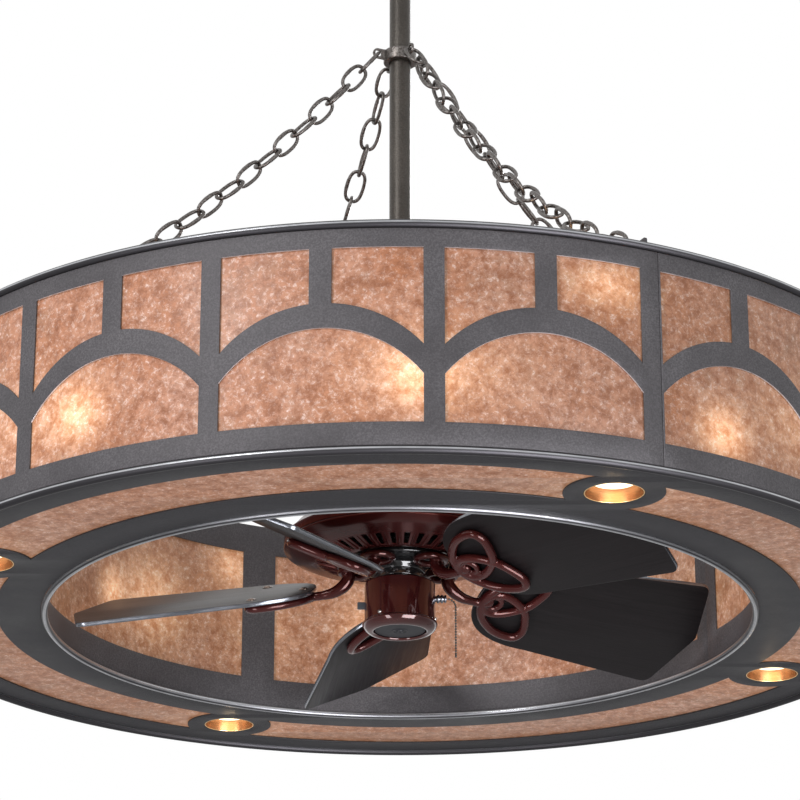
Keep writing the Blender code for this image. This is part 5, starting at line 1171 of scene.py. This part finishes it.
# Pull switch: a black body inside, a ribbed nickel nipple through the wall, and the bead
# chain that comes out of it, bends over and hangs.
NIPPLE_Z, NIPPLE_REACH = up(0.029), 0.0430
finish_node("reverse_switch", BLACK, 0.0003)
body_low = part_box("pull_switch")[0]
body = mesh_of(soft_box((body_low.x + 0.007, 0, NIPPLE_Z), (0.0138, 0.0116, 0.0156), 0.0012, 3))
piece("pull_switch_body", body, BLACK, HANGING, ["pull_switch"])
NIPPLE = [
    (0.0021, 0.0125), (0.0044, 0.0125), (0.0048, 0.0120), (0.0048, 0.0104), (0.0036, 0.0098), (0.0036, 0.0088),
    (0.0051, 0.0083), (0.0051, 0.0060), (0.0037, 0.0055), (0.0037, 0.0045), (0.0051, 0.0040), (0.0051, 0.0014),
    (0.0036, 0.0009), (0.0036, -0.0014), (0.0021, -0.0014),
]
nipple = lathe(rounded(NIPPLE, 0.0003, 2, True), 40)
nipple.transform(facing_out(0, NIPPLE_REACH, NIPPLE_Z))
piece("pull_nipple", nipple, steel_look("blued_nipple", (0.24, 0.25, 0.28), 0.2), HANGING)

bead_look = steel_look("bead_chain_metal", (0.10, 0.092, 0.084), 0.34)
BEAD = 0.0014
BEAD_STEP = 0.0034
BEAD_CORE = 0.00042
CHAIN_MOUTH, CHAIN_BEND, CHAIN_HANG = 0.0554, 0.0101, 0.0715
bend_start = CHAIN_MOUTH + 0.001
route = [Vector((CHAIN_MOUTH, 0, NIPPLE_Z))]
for i in range(33):
    a = pi / 2 * i / 32
    route.append(Vector((bend_start + CHAIN_BEND * sin(a), 0, NIPPLE_Z - CHAIN_BEND * (1 - cos(a)))))
route.append(Vector((bend_start + CHAIN_BEND, 0, NIPPLE_Z - CHAIN_HANG)))
reach = lengths_along(route)
shape = bmesh.new()
for k in range(int(reach[-1] / BEAD_STEP) + 1):
    centre = point_along(route, reach, k * BEAD_STEP)
    bmesh.ops.create_uvsphere(shape, u_segments=12, v_segments=8, radius=BEAD, matrix=Matrix.Translation(centre))
sweep(shape, route, BEAD_CORE, 6)
bell_end = rounded([(0, 0.0026), (0.0009, 0.0026), (0.00118, 0.0014), (0.00118, -0.0006), (0, -0.0010)], 0.0003, 2)
add_lathe(shape, bell_end, 16, Matrix.Translation(route[-1]))
piece("pull_bead_chain", mesh_of(shape), bead_look, "pull_chain", ["pull_chain"], 60)

# Reverse lever: a small slider moulded in dark plastic with three ridges for a fingernail. It
# moves in a slot of the cup, opposite the pull chain.
lever_low, lever_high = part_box("reverse_lever")
middle = (lever_low + lever_high) / 2
size = lever_high - lever_low
shape = soft_box(middle, (size.x, size.y * 0.98, size.z * 0.98), 0.0006, 2)
for k in range(3):
    z = middle.z + (k - 1) * size.z * 0.26
    ridge = [(lever_low.x + 0.0006, size.y * share, z) for share in (-0.36, -0.2, 0.2, 0.36)]
    sweep(shape, ridge, [0.0003, 0.0006, 0.0006, 0.0003], 8)
lever_look = grained(
    "lever_plastic", (500, 2), (0.060, 0.070, 0.082), (0.095, 0.110, 0.128), bump=(0.0001, 0.4), roughness=0.45,
)
piece("ridged_lever", mesh_of(shape), lever_look.material, "reverse_lever", ["reverse_lever"])
